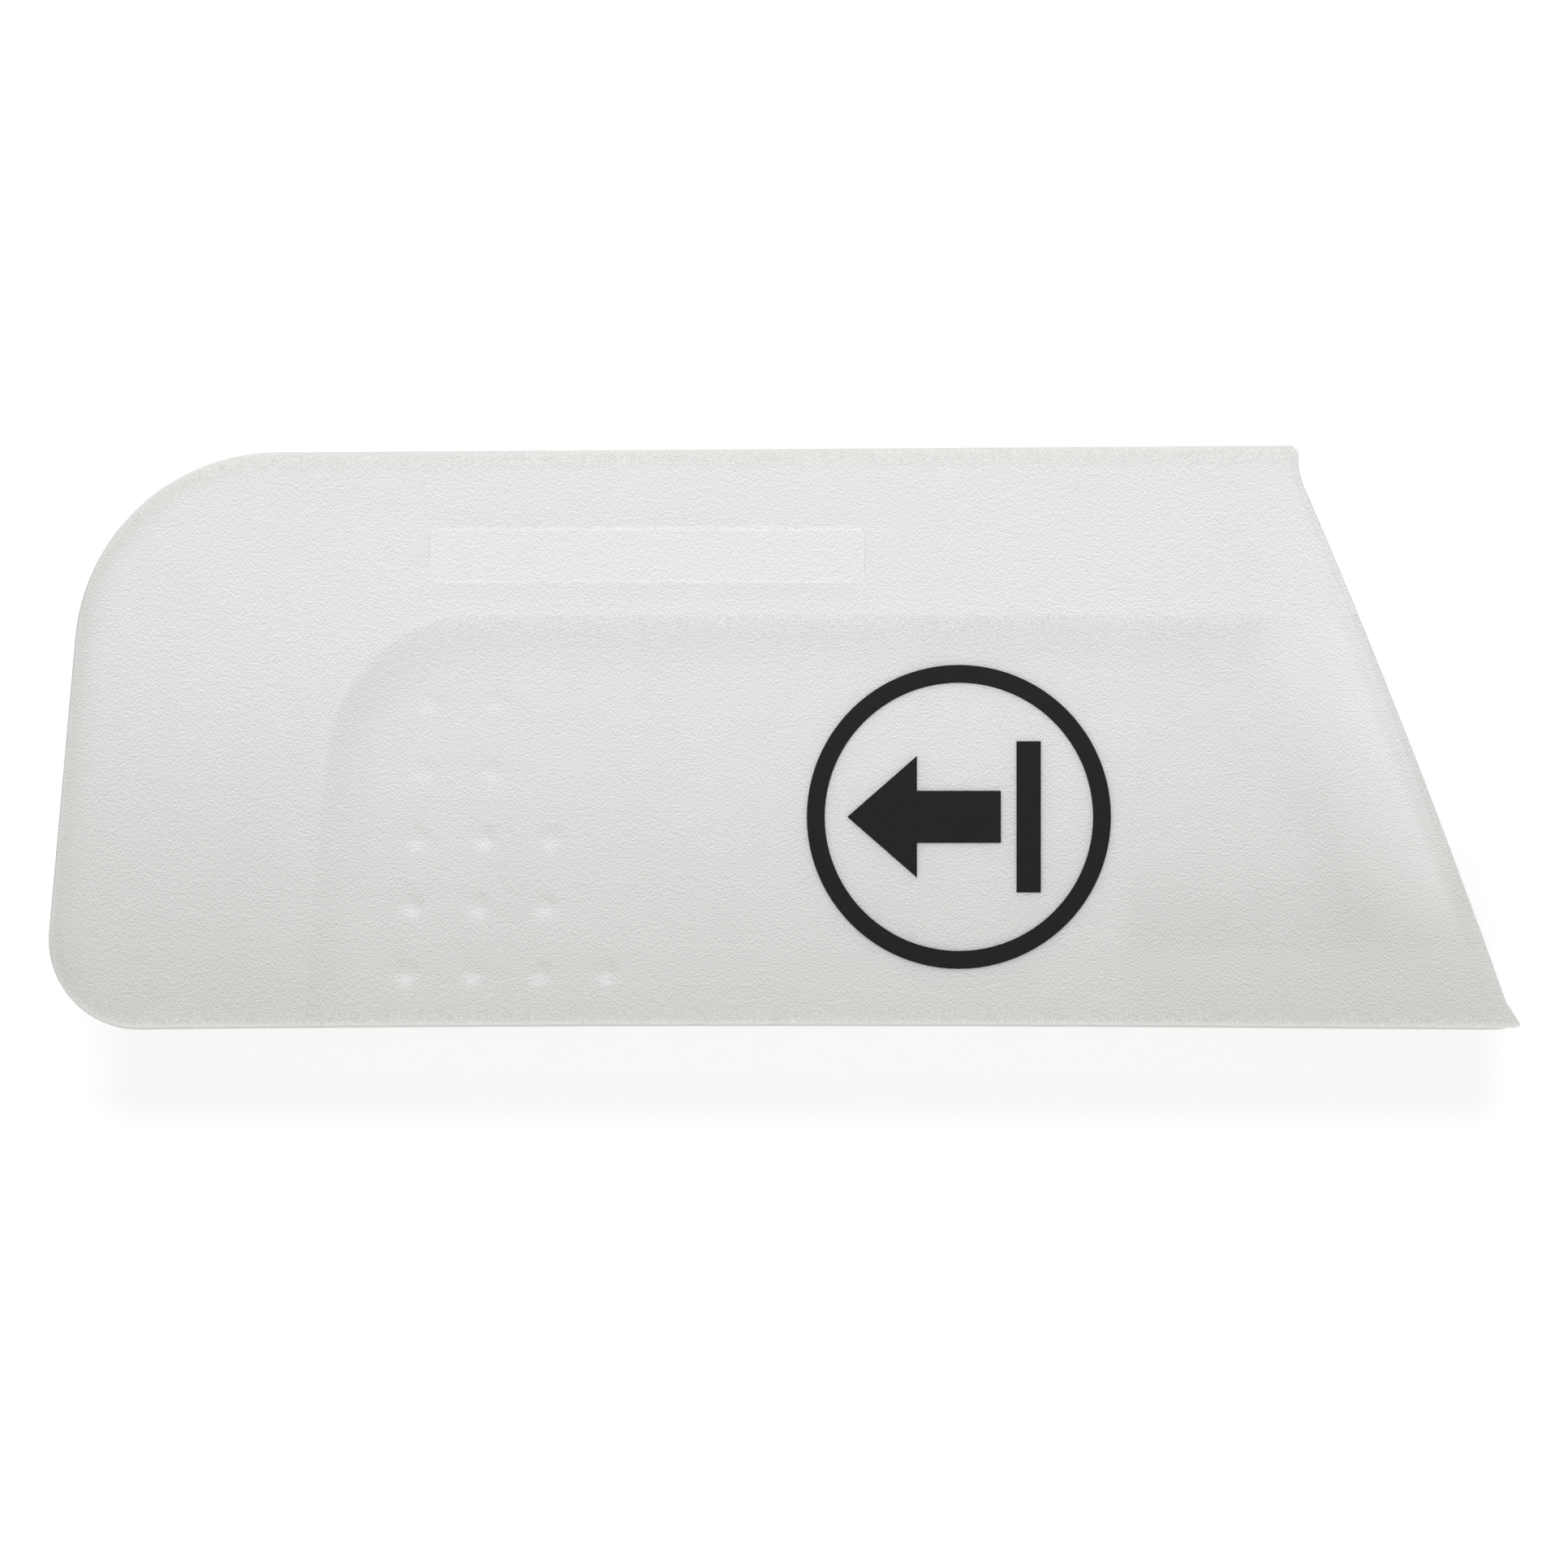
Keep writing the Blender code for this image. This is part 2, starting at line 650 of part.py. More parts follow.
def print_marks(material, parts):
    """The ring, the arrow and the bar, whose ends keep the arrow's clearance to the ring."""
    middle = Vector((0, 0))
    ring = [
        circle_outline(middle, RING_RADIUS, RING_STEPS),
        circle_outline(middle, RING_RADIUS - RING_STROKE, RING_STEPS),
    ]
    bar_reach = math.sqrt(MARK_REACH * MARK_REACH - BAR_RIGHT * BAR_RIGHT)
    bar = box_outline(BAR_LEFT, BAR_RIGHT, -bar_reach, bar_reach)
    return [
        printed("print_ring", ring, material, parts),
        printed("print_arrow", [arrow_outline()], material, parts),
        printed("print_bar", [bar], material, parts),
    ]


def build():
    clear_scene()
    parts = new_collection("blade_cap")
    cutters = new_collection("cutters")
    plastic = shell_material()
    ink = ink_material()
    pieces = [front_shell(plastic, parts, cutters), rear_shell(plastic, parts, cutters)]
    pieces += print_marks(ink, parts)
    cap = bpy.data.objects.new("blade_cap_frame", None)
    parts.objects.link(cap)
    for piece in pieces:
        piece.parent = cap


build()
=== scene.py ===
"""Looks of a knife blade cap: two moulded half shells of pale plastic with a printed mark.

X runs from the closed end to the mouth, Y from the blade's edge to its back, and Z up from the
surface that the cap lies on. Shapes of a half are modelled by their height above the parting
plane, halfway up, and then moved to their side. All sizes are in metres.
"""

import math

import bmesh
import bpy
import numpy as np
from bpy.props import FloatProperty, FloatVectorProperty, PointerProperty
from mathutils import Matrix, Vector
from mathutils.geometry import delaunay_2d_cdt
from mathutils.kdtree import KDTree


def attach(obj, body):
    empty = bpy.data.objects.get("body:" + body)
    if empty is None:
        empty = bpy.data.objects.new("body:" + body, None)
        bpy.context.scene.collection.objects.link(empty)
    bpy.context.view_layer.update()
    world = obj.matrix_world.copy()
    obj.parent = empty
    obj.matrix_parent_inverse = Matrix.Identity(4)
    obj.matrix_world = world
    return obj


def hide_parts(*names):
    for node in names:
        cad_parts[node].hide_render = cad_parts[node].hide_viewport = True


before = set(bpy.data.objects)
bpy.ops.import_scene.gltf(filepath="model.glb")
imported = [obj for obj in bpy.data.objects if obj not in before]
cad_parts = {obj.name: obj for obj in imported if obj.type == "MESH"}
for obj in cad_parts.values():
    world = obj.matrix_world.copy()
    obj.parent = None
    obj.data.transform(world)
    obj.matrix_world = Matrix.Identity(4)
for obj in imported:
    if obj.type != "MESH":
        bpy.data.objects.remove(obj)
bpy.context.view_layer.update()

bl_info = {
    "name": "Knife blade cap",
    "version": (1, 0, 0),
    "blender": (4, 5, 0),
    "location": "3D View > Sidebar > Blade cap",
    "description": "Builds the looks of a moulded blade cap around its packed solids",
    "category": "Object",
}

# Overall size
CAP_LENGTH = 0.0847
CAP_HEIGHT = 0.0337
CAP_THICKNESS = 0.0116

# Outline seen from above
CLOSED_END_LEAN_DEG = 5.1
BACK_SLOPE_DEG = 0.37
EDGE_ARCH = 0.00027
BACK_CORNER_RADIUS = 0.0117
EDGE_CORNER_RADIUS = 0.0052
ARC_STEPS = 40
ARCH_STEPS = 8

# Mouth
BACK_SETBACK = 0.01277
BACK_END_HEIGHT = 0.0017
MOUTH_BOW = 0.0003
MOUTH_STEPS = 16
MOUTH_CORNER_CHAMFER = 0.0004
MOUTH_CORNER_RADIUS = 0.0004
MOUTH_BEND_RADIUS = 0.0033
MOUTH_BEND_STEPS = 8
LIP_HEIGHT = 0.00178
LIP_LENGTH = 0.0009
LIP_TIP_HEIGHT = 0.00033
LIP_HEEL_LENGTH = 0.0008
LIP_BEND_RADIUS = 0.001

# Rounding of the outer edges
ROUND_CLOSED_END = 0.0021
ROUND_BACK = 0.0013
ROUND_EDGE = 0.0014
ROUND_STEPS = 10
MOUTH_ROUND_STEPS = 4

# Walls and the gap between the two halves
WALL = 0.0016
NOSE_WALL = 0.0012
SEAM_GAP = 0.00005

# Thumb recess
BACK_BAND = 0.00975
CLOSED_BAND = 0.0151
RECESS_CORNER_RADIUS = 0.0088
RECESS_DEPTH = 0.0009
RECESS_COVE = 0.0028
COVE_EXCESS = 1.02
COVE_POWER = 2.0
RECESS_RUNOUT = 0.0016
COVE_SHARES = (
    -0.04, -0.018, -0.008, 0, 0.008, 0.018, 0.036, 0.06,
    0.095, 0.15, 0.22, 0.32, 0.45, 0.6, 0.8, 1,
)
FADE_OFFSETS = (-0.001, -0.0005, 0, 0.0005, 0.001, 0.0015)

# Cheek at the mouth
CHEEK_TOP_INSET = 0.0003
CHEEK_INSET_GROWTH = 0.0001
CHEEK_END_FLARE = 0.0006
CHEEK_FLARE_POWER = 3.5
CHEEK_SPAN = 0.018
CHEEK_GROWTH_END = 1.2
CHEEK_SHOULDER = 0.0046
CHEEK_FOOT = 0.0084
CHEEK_LINES = (0, 0.0004, 0.0016, 0.0046, 0.0058, 0.007, 0.0084)
CHEEK_DROP = 0.00005
CHEEK_SAG = 0.0001
CHEEK_MIDDLE_Y = -0.0019
CHEEK_HALF_LENGTH = 0.01
STRIP_FADE_TOP = -0.0095
STRIP_FADE_LENGTH = 0.005

# Grip dimples
DIMPLE_ROWS = (2, 2, 3, 3, 4)
DIMPLE_PITCH = 0.00386
DIMPLE_DIAMETER = 0.0019
DIMPLE_SIDE_MARGIN = 0.0056
DIMPLE_BACK_MARGIN = 0.00516
DIMPLE_SOFTNESS = 1.5
DIMPLE_RINGS = (0.2, 0.4, 0.55, 0.7, 0.82, 0.91, 0.97, 1)
DIMPLE_POINTS = 24

# Blank plate on the back band
PLATE_LENGTH = 0.025
PLATE_WIDTH = 0.0032
PLATE_CORNER_RADIUS = 0.0004
PLATE_HEIGHT = 0.0001
PLATE_RIM = 0.0002
PLATE_SIDE = 0.00004
PLATE_FROM_TIP = 0.0502
PLATE_BELOW_BACK = 0.00635

# Inside
CHANNEL_STEP = 0.0012
SOCKET_STEP = 0.0009
NOSE_STOP_DEPTH = 0.0227
BLADE_SPACE = 0.0046
RIB_WIDTH = 0.001
EDGE_RIB_ABOVE_EDGE = 0.00465
GUIDE_RIBS = 2
RIB_END_GAP = 0.0012

# Joint between the halves
TONGUE_WIDTH = 0.0006
TONGUE_HEIGHT = 0.0006
TONGUE_CLEARANCE = 0.0001
TONGUE_SETBACK = 0.003
PIN_DIAMETER = 0.002
PIN_HEIGHT = 0.002
PIN_CLEARANCE = 0.0001
BOSS_DIAMETER = 0.004
BOSS_BITE = 0.0005
PIN_STEPS = 24

# How far helpers reach past what they cut or join
OVERRUN = 0.002
EMBED = 0.0004

# Spacing of the free points of a shell's skin, and how near they come to the drawn lines
SKIN_SPACING = 0.0011
CHEEK_SPACING = 0.00032
LONGEST_SIDE = 0.0012
LINE_SHARE = 0.4
FLAT_SHARE = 0.999
COVE_MARGIN = 0.06

# Steps and limits of the mesh work
ON_OUTLINE_SHARE = 0.01
CDT_REACH = 1e-5
CDT_WHOLE = 0
BLEND_SHARE = 4.0
LIFT_OFF = 0.002
SHARP_EDGE_DEG = 32.0
HALVINGS = 24
WELD = 1e-7
PROBE = 1e-6
MILLI = 1000.0

# Painted shade and glow on the translucent wall, as shares of the plastic's colour, and where they lie
POCKET_GLOW = 0.013
POCKET_LOW = 1.01
SHELF_Y = (-0.0129, -0.0115)
SOCKET_DARK = 0.958
SOCKET_LOW = 0.992
SOCKET_EDGE = 0.0008
SOCKET_FADE_Y = (-0.0108, -0.0062)
SOFT_LINE = 0.0004
BORDER_SHADE = 0.026
BORDER_WIDTH = 0.0032
BORDER_END = (-0.0075, -0.0045)
SIDE_SHADE = 0.026
SIDE_SHADE_Y = (-0.006, 0.0)
SIDE_SHADE_X = (0.003, 0.009)
MOUTH_LINE = 0.07
MOUTH_LINE_MIDDLE = 0.00034
MOUTH_LINE_HALF = 0.0002
MOUTH_LINE_Y = (-0.0085, -0.003)
MOUTH_GLOW = 0.08
MOUTH_GLOW_TOP = 0.7
MOUTH_GLOW_LOW = 1.3
MOUTH_GLOW_EDGE = 0.0005
MOUTH_GLOW_START = 0.0014
MOUTH_GLOW_END = 0.0056
GLOW_FADE_LOW_Y = -0.014
GLOW_FADE_HIGH_Y = -0.0085
BAND_GLOW = 0.25
CHEEK_VALLEY = 0.026
VALLEY_MIDDLE = 0.0072
VALLEY_HALF = 0.002
VALLEY_RISE_Y = (-0.0135, -0.009)
VALLEY_FALL_Y = (-0.0045, -0.001)

# Plastic and ink
SPOT_ROUGHNESS = 0.3
SPOT_GRAIN = 0.5
# Painted glint on the dimples' lower sides, stronger towards the edge
SPOT_GLINT = (0.85, 0.28)
SPOT_GLINT_Y = (-0.0135, -0.002)
PLATE_SPOT = 0.2
# Painted glow on the rounded rim, and painted shade on the walls below it and on what faces the back
WALL_GLOW = 0.17
WALL_GLOW_TURN = 0.8
WALL_GLOW_Z = (0.005, 0.0057)
WALL_DARK = 0.3
WALL_DARK_TURN = (0.05, 0.2)
WALL_DARK_BACK = (0.3, 0.7)
BACK_SHADE = 0.026
BACK_SHADE_TURN = (0.08, 0.4)
PIT_SIZE = 2.3
PIT_DEPTH = 0.35
PIT_DETAIL = 1.0
# Painted light and shade on the grain's slopes, as if lit from the back; the relief's shift and spread
# below set it
GRAIN_PAINTED_SHADE = 0.18
GRAIN_DETAIL = 1.5
GRAIN_NARROWING = (1.4, 1.0, 1.0)
RELIEF_SHIFT = (0, 0.00005, 0)
RELIEF_SPREAD = 0.2
CLOUD_SIZE = 0.006
CLOUD = 0.006
ROUGH_SPREAD = 0.06
NOISE_DETAIL = 2.0
NOISE_RANGE = (0.3, 0.7)
PLASTIC_IOR = 1.5
SCATTER_COLOUR = (1.0, 0.97, 0.93)
INK_GRAIN = 0.00015
INK_PATCH = 0.002
INK_DEPTH = 0.000006
INK_SPREAD = 0.3
INK_GLOSS = 0.15

# Names and reach of what a shell's mesh tells its plastic, and the nodes that take the ink
# The spot layer marks the smoother dimples and plate, and where the dimples take a painted glint
SMOOTH_GLINT_LAYER = "smooth_and_glint_spot"
RECESS_LAYER = "recess_inset"
MOUTH_LAYER = "mouth_inset"
LAYER_REACH = 0.01
PRINTED_NODES = ("print_ring", "print_arrow", "print_bar")

# Table and light
TABLE_RADIUS = 1.5
TABLE_STEPS = 64
TABLE_GAP = 0.00002
TABLE_WHITE = 0.9
TABLE_SHADE = 0.2
TABLE_LIFT = 0.9
# Painted shadow on the table below the cap's edge: how much darker, and where it lies
TABLE_PAINTED_SHADOW = 0.093
SHADOW_PATCH_LOW_Y = -0.0232
SHADOW_PATCH_HIGH_Y = -0.0203
SHADOW_PATCH_LEFT_X = (-0.042, -0.037)
SHADOW_PATCH_RIGHT_X = (0.0395, 0.0425)
DOME_COLOUR = (1.0, 0.998, 0.99)
STRIP_COLOUR = (1.02, 0.985, 1.16)
SIDE_FALLOFF = 6.0
HORIZON_FALLOFF = 5.0
SOFTBOX_SIZE = 0.5
SOFTBOX_HEIGHT = 1.0
STRIP_LENGTH = 0.13
STRIP_WIDTH = 0.006
STRIP_X = 0.0
STRIP_Y = 0.012

# Camera, seen from straight above as in the photograph
PHOTO_WIDTH = 0.0903
PHOTO_CENTRE_Y = -0.00264
SENSOR_WIDTH = 36.0

# Side of the parting plane on which each half lies
FRONT = 1
REAR = -1

# Sizes and places that follow from those above
PARTING_Z = CAP_THICKNESS / 2
HALF_THICKNESS = CAP_THICKNESS / 2
TIP_X = CAP_LENGTH / 2
BACK_END_X = TIP_X - BACK_SETBACK
BACK_Y = CAP_HEIGHT / 2
EDGE_Y = -CAP_HEIGHT / 2
RECESS_BACK_Y = BACK_Y - BACK_BAND
RECESS_FADE_Y = EDGE_Y + RECESS_RUNOUT
RECESS_SLOPE = RECESS_DEPTH / (RECESS_BACK_Y - RECESS_FADE_Y)
RECESS_HEIGHT = HALF_THICKNESS - RECESS_DEPTH
CHANNEL_HEIGHT = HALF_THICKNESS - WALL
POCKET_HEIGHT = RECESS_HEIGHT - WALL
NOSE_HEIGHT = RECESS_HEIGHT - NOSE_WALL
NOSE_STOP_X = TIP_X - NOSE_STOP_DEPTH
HOLLOW_END_X = TIP_X + 2 * OVERRUN
CUT_END_X = TIP_X + 3 * OVERRUN
OUTSIDE_MOUTH = ((CUT_END_X, BACK_Y + MOUTH_CORNER_CHAMFER), (CUT_END_X, EDGE_Y - LIP_TIP_HEIGHT))
PLATE_X = TIP_X - PLATE_FROM_TIP
PLATE_Y = BACK_Y - PLATE_BELOW_BACK
END_LEAN = math.radians(CLOSED_END_LEAN_DEG)
BACK_SLOPE = math.tan(math.radians(BACK_SLOPE_DEG))


class CapShape(bpy.types.PropertyGroup):
    round_height: FloatProperty(
        name="Edge rounding height",
        description="Height of the quarter ellipse that rounds the outer edges",
        default=0.0014, min=0.0002, max=0.003, precision=5, unit="LENGTH",
    )
    wall_draft: FloatProperty(
        name="Wall draft",
        description="How far the side walls lean inwards between the seam and the rounding",
        default=0.00015, min=0.0, max=0.0004, precision=5, unit="LENGTH",
    )
    mouth_round: FloatProperty(
        name="Mouth rounding",
        description="Radius along the outer rim of the mouth",
        default=0.00022, min=0.00005, max=0.0004, precision=5, unit="LENGTH",
    )
    seam_chamfer: FloatProperty(
        name="Seam chamfer",
        description="Chamfer on each half's outer rim at the parting plane",
        default=0.00006, min=0.00001, max=0.0002, precision=5, unit="LENGTH",
    )
    crease_blend: FloatProperty(
        name="Crease blend",
        description="Height over which the recess's upper border is softened",
        default=0.00008, min=0.00001, max=0.0003, precision=5, unit="LENGTH",
    )
    cheek_blend: FloatProperty(
        name="Cheek blend",
        description="Height over which the cheek's foot runs into the recess",
        default=0.00022, min=0.00001, max=0.0005, precision=5, unit="LENGTH",
    )
    crest_blend: FloatProperty(
        name="Crest blend",
        description="Height over which the cheek's crest is rounded",
        default=0.00012, min=0.00001, max=0.0003, precision=5, unit="LENGTH",
    )
    cheek_strip_slope: FloatProperty(
        name="Cheek strip slope",
        description="Fall of the narrow strip between the cheek's crest and the mouth",
        default=0.5, min=0.0, max=1.0,
    )
    dimple_depth: FloatProperty(
        name="Dimple depth",
        description="Depth of each grip dimple",
        default=0.00017, min=0.0, max=0.0005, precision=5, unit="LENGTH",
    )
    plate_rim_height: FloatProperty(
        name="Plate rim height",
        description="How far the blank plate's rim stands above the back band",
        default=0.00013, min=0.00002, max=0.0003, precision=5, unit="LENGTH",
    )


class ShellFinish(bpy.types.PropertyGroup):
    colour: FloatVectorProperty(
        name="Plastic colour",
        description="Base colour of the pale plastic",
        default=(0.8, 0.798, 0.755), size=3, min=0.0, max=1.0, subtype="COLOR",
    )
    roughness: FloatProperty(
        name="Roughness",
        description="Roughness of the spark-eroded surface",
        default=0.55, min=0.0, max=1.0, subtype="FACTOR",
    )
    translucency: FloatProperty(
        name="Translucency",
        description="Share of light that scatters below the surface",
        default=0.6, min=0.0, max=1.0, subtype="FACTOR",
    )
    scatter_depth: FloatProperty(
        name="Scatter depth",
        description="How far light spreads inside the plastic",
        default=0.0012, min=0.0001, max=0.005, precision=5, unit="LENGTH",
    )
    grain_size: FloatProperty(
        name="Grain size",
        description="Size of the spark-eroded grain",
        default=0.00012, min=0.00005, max=0.001, precision=5, unit="LENGTH",
    )
    grain_depth: FloatProperty(
        name="Grain depth",
        description="Height of the spark-eroded grain",
        default=0.00003, min=0.0, max=0.0001, precision=6, unit="LENGTH",
    )


class InkFinish(bpy.types.PropertyGroup):
    colour: FloatVectorProperty(
        name="Ink colour",
        description="Colour of the printed mark",
        default=(0.0015, 0.0015, 0.0015), size=3, min=0.0, max=1.0, subtype="COLOR",
    )
    roughness: FloatProperty(
        name="Ink roughness",
        description="Roughness of the dried ink",
        default=0.6, min=0.0, max=1.0, subtype="FACTOR",
    )


class StudioLook(bpy.types.PropertyGroup):
    side_strength: FloatProperty(
        name="Side light",
        description="Brightness of the large soft lights along the cap's two long sides",
        default=2.3, min=0.0, max=5.0,
    )
    horizon_strength: FloatProperty(
        name="Horizon light",
        description="Brightness of the white walls all round, low above the table",
        default=1.85, min=0.0, max=3.0,
    )
    softbox_power: FloatProperty(
        name="Softbox power",
        description="Power of the square soft light overhead",
        default=3.17, min=0.0, max=20.0, unit="POWER",
    )
    strip_power: FloatProperty(
        name="Strip power",
        description="Power of the long soft light above the back",
        default=0.0118, min=0.0, max=5.0, precision=4, unit="POWER",
    )
    strip_height: FloatProperty(
        name="Strip height",
        description="Height of the long soft light above the floor",
        default=0.047, min=0.02, max=0.5, unit="LENGTH",
    )
    camera_distance: FloatProperty(
        name="Camera distance",
        description="Distance of the camera above the floor",
        default=2.5, min=0.3, max=5.0, unit="LENGTH",
    )


def closed_side_x(y, inset):
    """Place of the leaning closed end at height y, moved inwards by the inset."""
    centre_x = -TIP_X + EDGE_CORNER_RADIUS
    centre_y = EDGE_Y + EDGE_CORNER_RADIUS
    reach = (EDGE_CORNER_RADIUS - inset) / math.cos(END_LEAN)
    return centre_x - reach + (y - centre_y) * math.tan(END_LEAN)


def back_y(x, inset):
    """The back's straight line, which falls slightly towards the closed end."""
    return BACK_Y - (BACK_END_X - x) * BACK_SLOPE - inset


def edge_y(x, inset):
    """The lower edge, which arches slightly upwards between its ends."""
    along = x / TIP_X
    return EDGE_Y + EDGE_ARCH * (1 - along * along) + inset


def corner_directions(before, corner, after):
    """Directions from a corner to its neighbours and inwards between them, and half its angle."""
    to_before = (before - corner).normalized()
    to_after = (after - corner).normalized()
    return to_before, to_after, (to_before + to_after).normalized(), to_before.angle(to_after) / 2


def fillet(before, corner, after, radius, steps):
    """Points of the arc that rounds a corner."""
    to_before, to_after, inwards, half_angle = corner_directions(before, corner, after)
    centre = corner + inwards * radius / math.sin(half_angle)
    start = corner + to_before * radius / math.tan(half_angle) - centre
    end = corner + to_after * radius / math.tan(half_angle) - centre
    turn = math.copysign(math.pi - 2 * half_angle, start.x * end.y - start.y * end.x)
    return [centre + Matrix.Rotation(turn * step / steps, 2) @ start for step in range(steps + 1)]


def rounded(corners):
    """An outline from its corners, each (x, y, radius, steps); radius 0 keeps the corner sharp."""
    places = [Vector((x, y)) for x, y, _, _ in corners]
    outline = []
    for index, (_, _, radius, steps) in enumerate(corners):
        after = places[(index + 1) % len(corners)]
        if radius > 0:
            outline += fillet(places[index - 1], places[index], after, radius, steps)
        else:
            outline.append(places[index])
    return outline


def sharp(points):
    return [(x, y, 0, 0) for x, y in points]


def corner_radii(end, back, edge):
    """Radii of the closed end's corner at the back and at the edge."""
    return BACK_CORNER_RADIUS - (end + back) / 2, EDGE_CORNER_RADIUS - (end + edge) / 2


def closed_corners(end, back, edge):
    """The closed end's two round corners and the arched edge, with an inset for each side."""
    corner_y = back_y(-TIP_X, back)
    foot_x = closed_side_x(EDGE_Y + edge, end)
    back_radius, edge_radius = corner_radii(end, back, edge)
    corners = [
        (closed_side_x(corner_y, end), corner_y, back_radius, ARC_STEPS),
        (foot_x, EDGE_Y + edge, edge_radius, ARC_STEPS),
    ]
    for step in range(1, ARCH_STEPS):
        x = foot_x + (TIP_X - foot_x) * step / ARCH_STEPS
        corners.append((x, edge_y(x, edge), 0, 0))
    return corners


def mouth_line(share):
    """Point of the bowed mouth edge: share 0 is at the lip, 1 at the back's end."""
    low = Vector((TIP_X - LIP_LENGTH, EDGE_Y + LIP_HEIGHT))
    high = Vector((BACK_END_X, BACK_Y - BACK_END_HEIGHT))
    outwards = Vector((high.y - low.y, low.x - high.x)).normalized()
    return low.lerp(high, share) + outwards * MOUTH_BOW * 4 * share * (1 - share)


def mouth_corners():
    """The mouth's own line, from the lip's heel to the chamfered end of the back."""
    low = mouth_line(0)
    high = mouth_line(1)
    bowed = [mouth_line(step / MOUTH_STEPS) for step in range(1, MOUTH_STEPS)]
    lip = [
        (TIP_X - 2 * LIP_HEEL_LENGTH, EDGE_Y - LIP_TIP_HEIGHT, 0, 0),
        (TIP_X, EDGE_Y + LIP_TIP_HEIGHT, 0, 0),
        (low.x, low.y, LIP_BEND_RADIUS, MOUTH_BEND_STEPS),
    ]
    back = [
        (high.x, high.y, MOUTH_BEND_RADIUS, MOUTH_BEND_STEPS),
        (BACK_END_X, BACK_Y - MOUTH_CORNER_CHAMFER, MOUTH_CORNER_RADIUS, MOUTH_BEND_STEPS),
        (BACK_END_X - 2 * MOUTH_CORNER_CHAMFER, BACK_Y + MOUTH_CORNER_CHAMFER, 0, 0),
    ]
    return lip + sharp(bowed) + back


def beyond_mouth():
    """What lies past the mouth: an outline of the mouth's line and two points outside the cap."""
    return rounded(mouth_corners() + sharp(OUTSIDE_MOUTH))


def mouth_path():
    """Points of the mouth's line, whose two ends lie outside the cap."""
    return beyond_mouth()[:-len(OUTSIDE_MOUTH)]


def open_outline(end, back, edge, right):
    """The cap's outline with an inset for each side, carried on past the mouth."""
    open_end = [(right, EDGE_Y + edge), (right, back_y(right, back))]
    return rounded(closed_corners(end, back, edge) + sharp(open_end))


def strip_outline(outer_inset, inner_inset):
    """A band of the wall's rim along the back, closed end and edge, short of the mouth."""
    back_end = BACK_END_X - TONGUE_SETBACK
    edge_end = TIP_X - LIP_LENGTH - TONGUE_SETBACK
    sides = []
    for inset in (outer_inset, inner_inset):
        corners = closed_corners(inset, inset, inset)
        wall = [corner for corner in corners if corner[0] < edge_end]
        start = sharp([(back_end, back_y(back_end, inset))])
        stop = sharp([(edge_end, edge_y(edge_end, inset))])
        sides.append(rounded(start + wall + stop))
    return sides[0] + sides[1][::-1]


def recess_outline(margin, right):
    """The recess, open past the edge and to the right, grown by the margin."""
    top = RECESS_BACK_Y + margin
    bottom = EDGE_Y - OVERRUN
    inset = CLOSED_BAND - margin
    round_corner = (closed_side_x(top, inset), top, RECESS_CORNER_RADIUS + margin, ARC_STEPS)
    others = sharp([(closed_side_x(bottom, inset), bottom), (right, bottom), (right, top)])
    return rounded([round_corner] + others)


def circle_outline(centre, radius, steps):
    turns = (math.tau * step / steps for step in range(steps))
    return [centre + radius * Vector((math.cos(turn), math.sin(turn))) for turn in turns]


def plate_outline(inset):
    """The blank plate, made smaller by the inset."""
    half_length = PLATE_LENGTH / 2 - inset
    half_width = PLATE_WIDTH / 2 - inset
    left, right = PLATE_X - half_length, PLATE_X + half_length
    low, high = PLATE_Y - half_width, PLATE_Y + half_width
    radius = PLATE_CORNER_RADIUS - inset
    corners = ((left, low), (right, low), (right, high), (left, high))
    return rounded([(x, y, radius, MOUTH_BEND_STEPS) for x, y in corners])


def corner_distance(first, second, angle, radius):
    """Distance inside a rounded corner, from the distances to its two sides.

    The angle is the one between the sides, inside the corner, and the radius may be an array."""
    from_first = radius - first
    from_second = radius - second
    cosine = math.cos(angle)
    square = from_first**2 + from_second**2 + 2 * cosine * from_first * from_second
    reach = np.sqrt(np.maximum(square, 0)) / math.sin(angle)
    in_corner = (from_first + cosine * from_second > 0) & (from_second + cosine * from_first > 0)
    return np.where(in_corner, radius - reach, np.minimum(first, second))


def outline_inset(x, y, end, back, edge):
    """Distance inside the outline, with an inset for each of its sides."""
    from_end = (x - closed_side_x(y, 0)) * math.cos(END_LEAN) - end
    from_back = back_y(x, 0) - y - back
    from_edge = y - edge_y(x, 0) - edge
    back_angle = math.pi / 2 + END_LEAN + math.radians(BACK_SLOPE_DEG)
    edge_angle = math.pi / 2 - END_LEAN
    back_radius, edge_radius = corner_radii(end, back, edge)
    at_back = corner_distance(from_end, from_back, back_angle, back_radius)
    at_edge = corner_distance(from_end, from_edge, edge_angle, edge_radius)
    return np.minimum(at_back, at_edge)


def edge_insets(share, draft):
    """The insets of the closed end, the back and the edge, at a share of the rounding."""
    return [draft + width * share for width in (ROUND_CLOSED_END, ROUND_BACK, ROUND_EDGE)]


def outline_share(x, y, draft):
    """How far in each point lies across the rounded edge: 0 on the outline, 1 past the rounding."""
    low = np.zeros_like(x)
    high = np.ones_like(x)
    for _ in range(HALVINGS):
        share = (low + high) / 2
        inside = outline_inset(x, y, *edge_insets(share, draft)) > 0
        low = np.where(inside, share, low)
        high = np.where(inside, high, share)
    return (low + high) / 2


def quarter_fall(share):
    """Fall of a quarter ellipse, 1 at its outer end and 0 from its inner end on."""
    outer = np.clip(1 - share, 0, 1)
    return 1 - np.sqrt(1 - outer * outer)


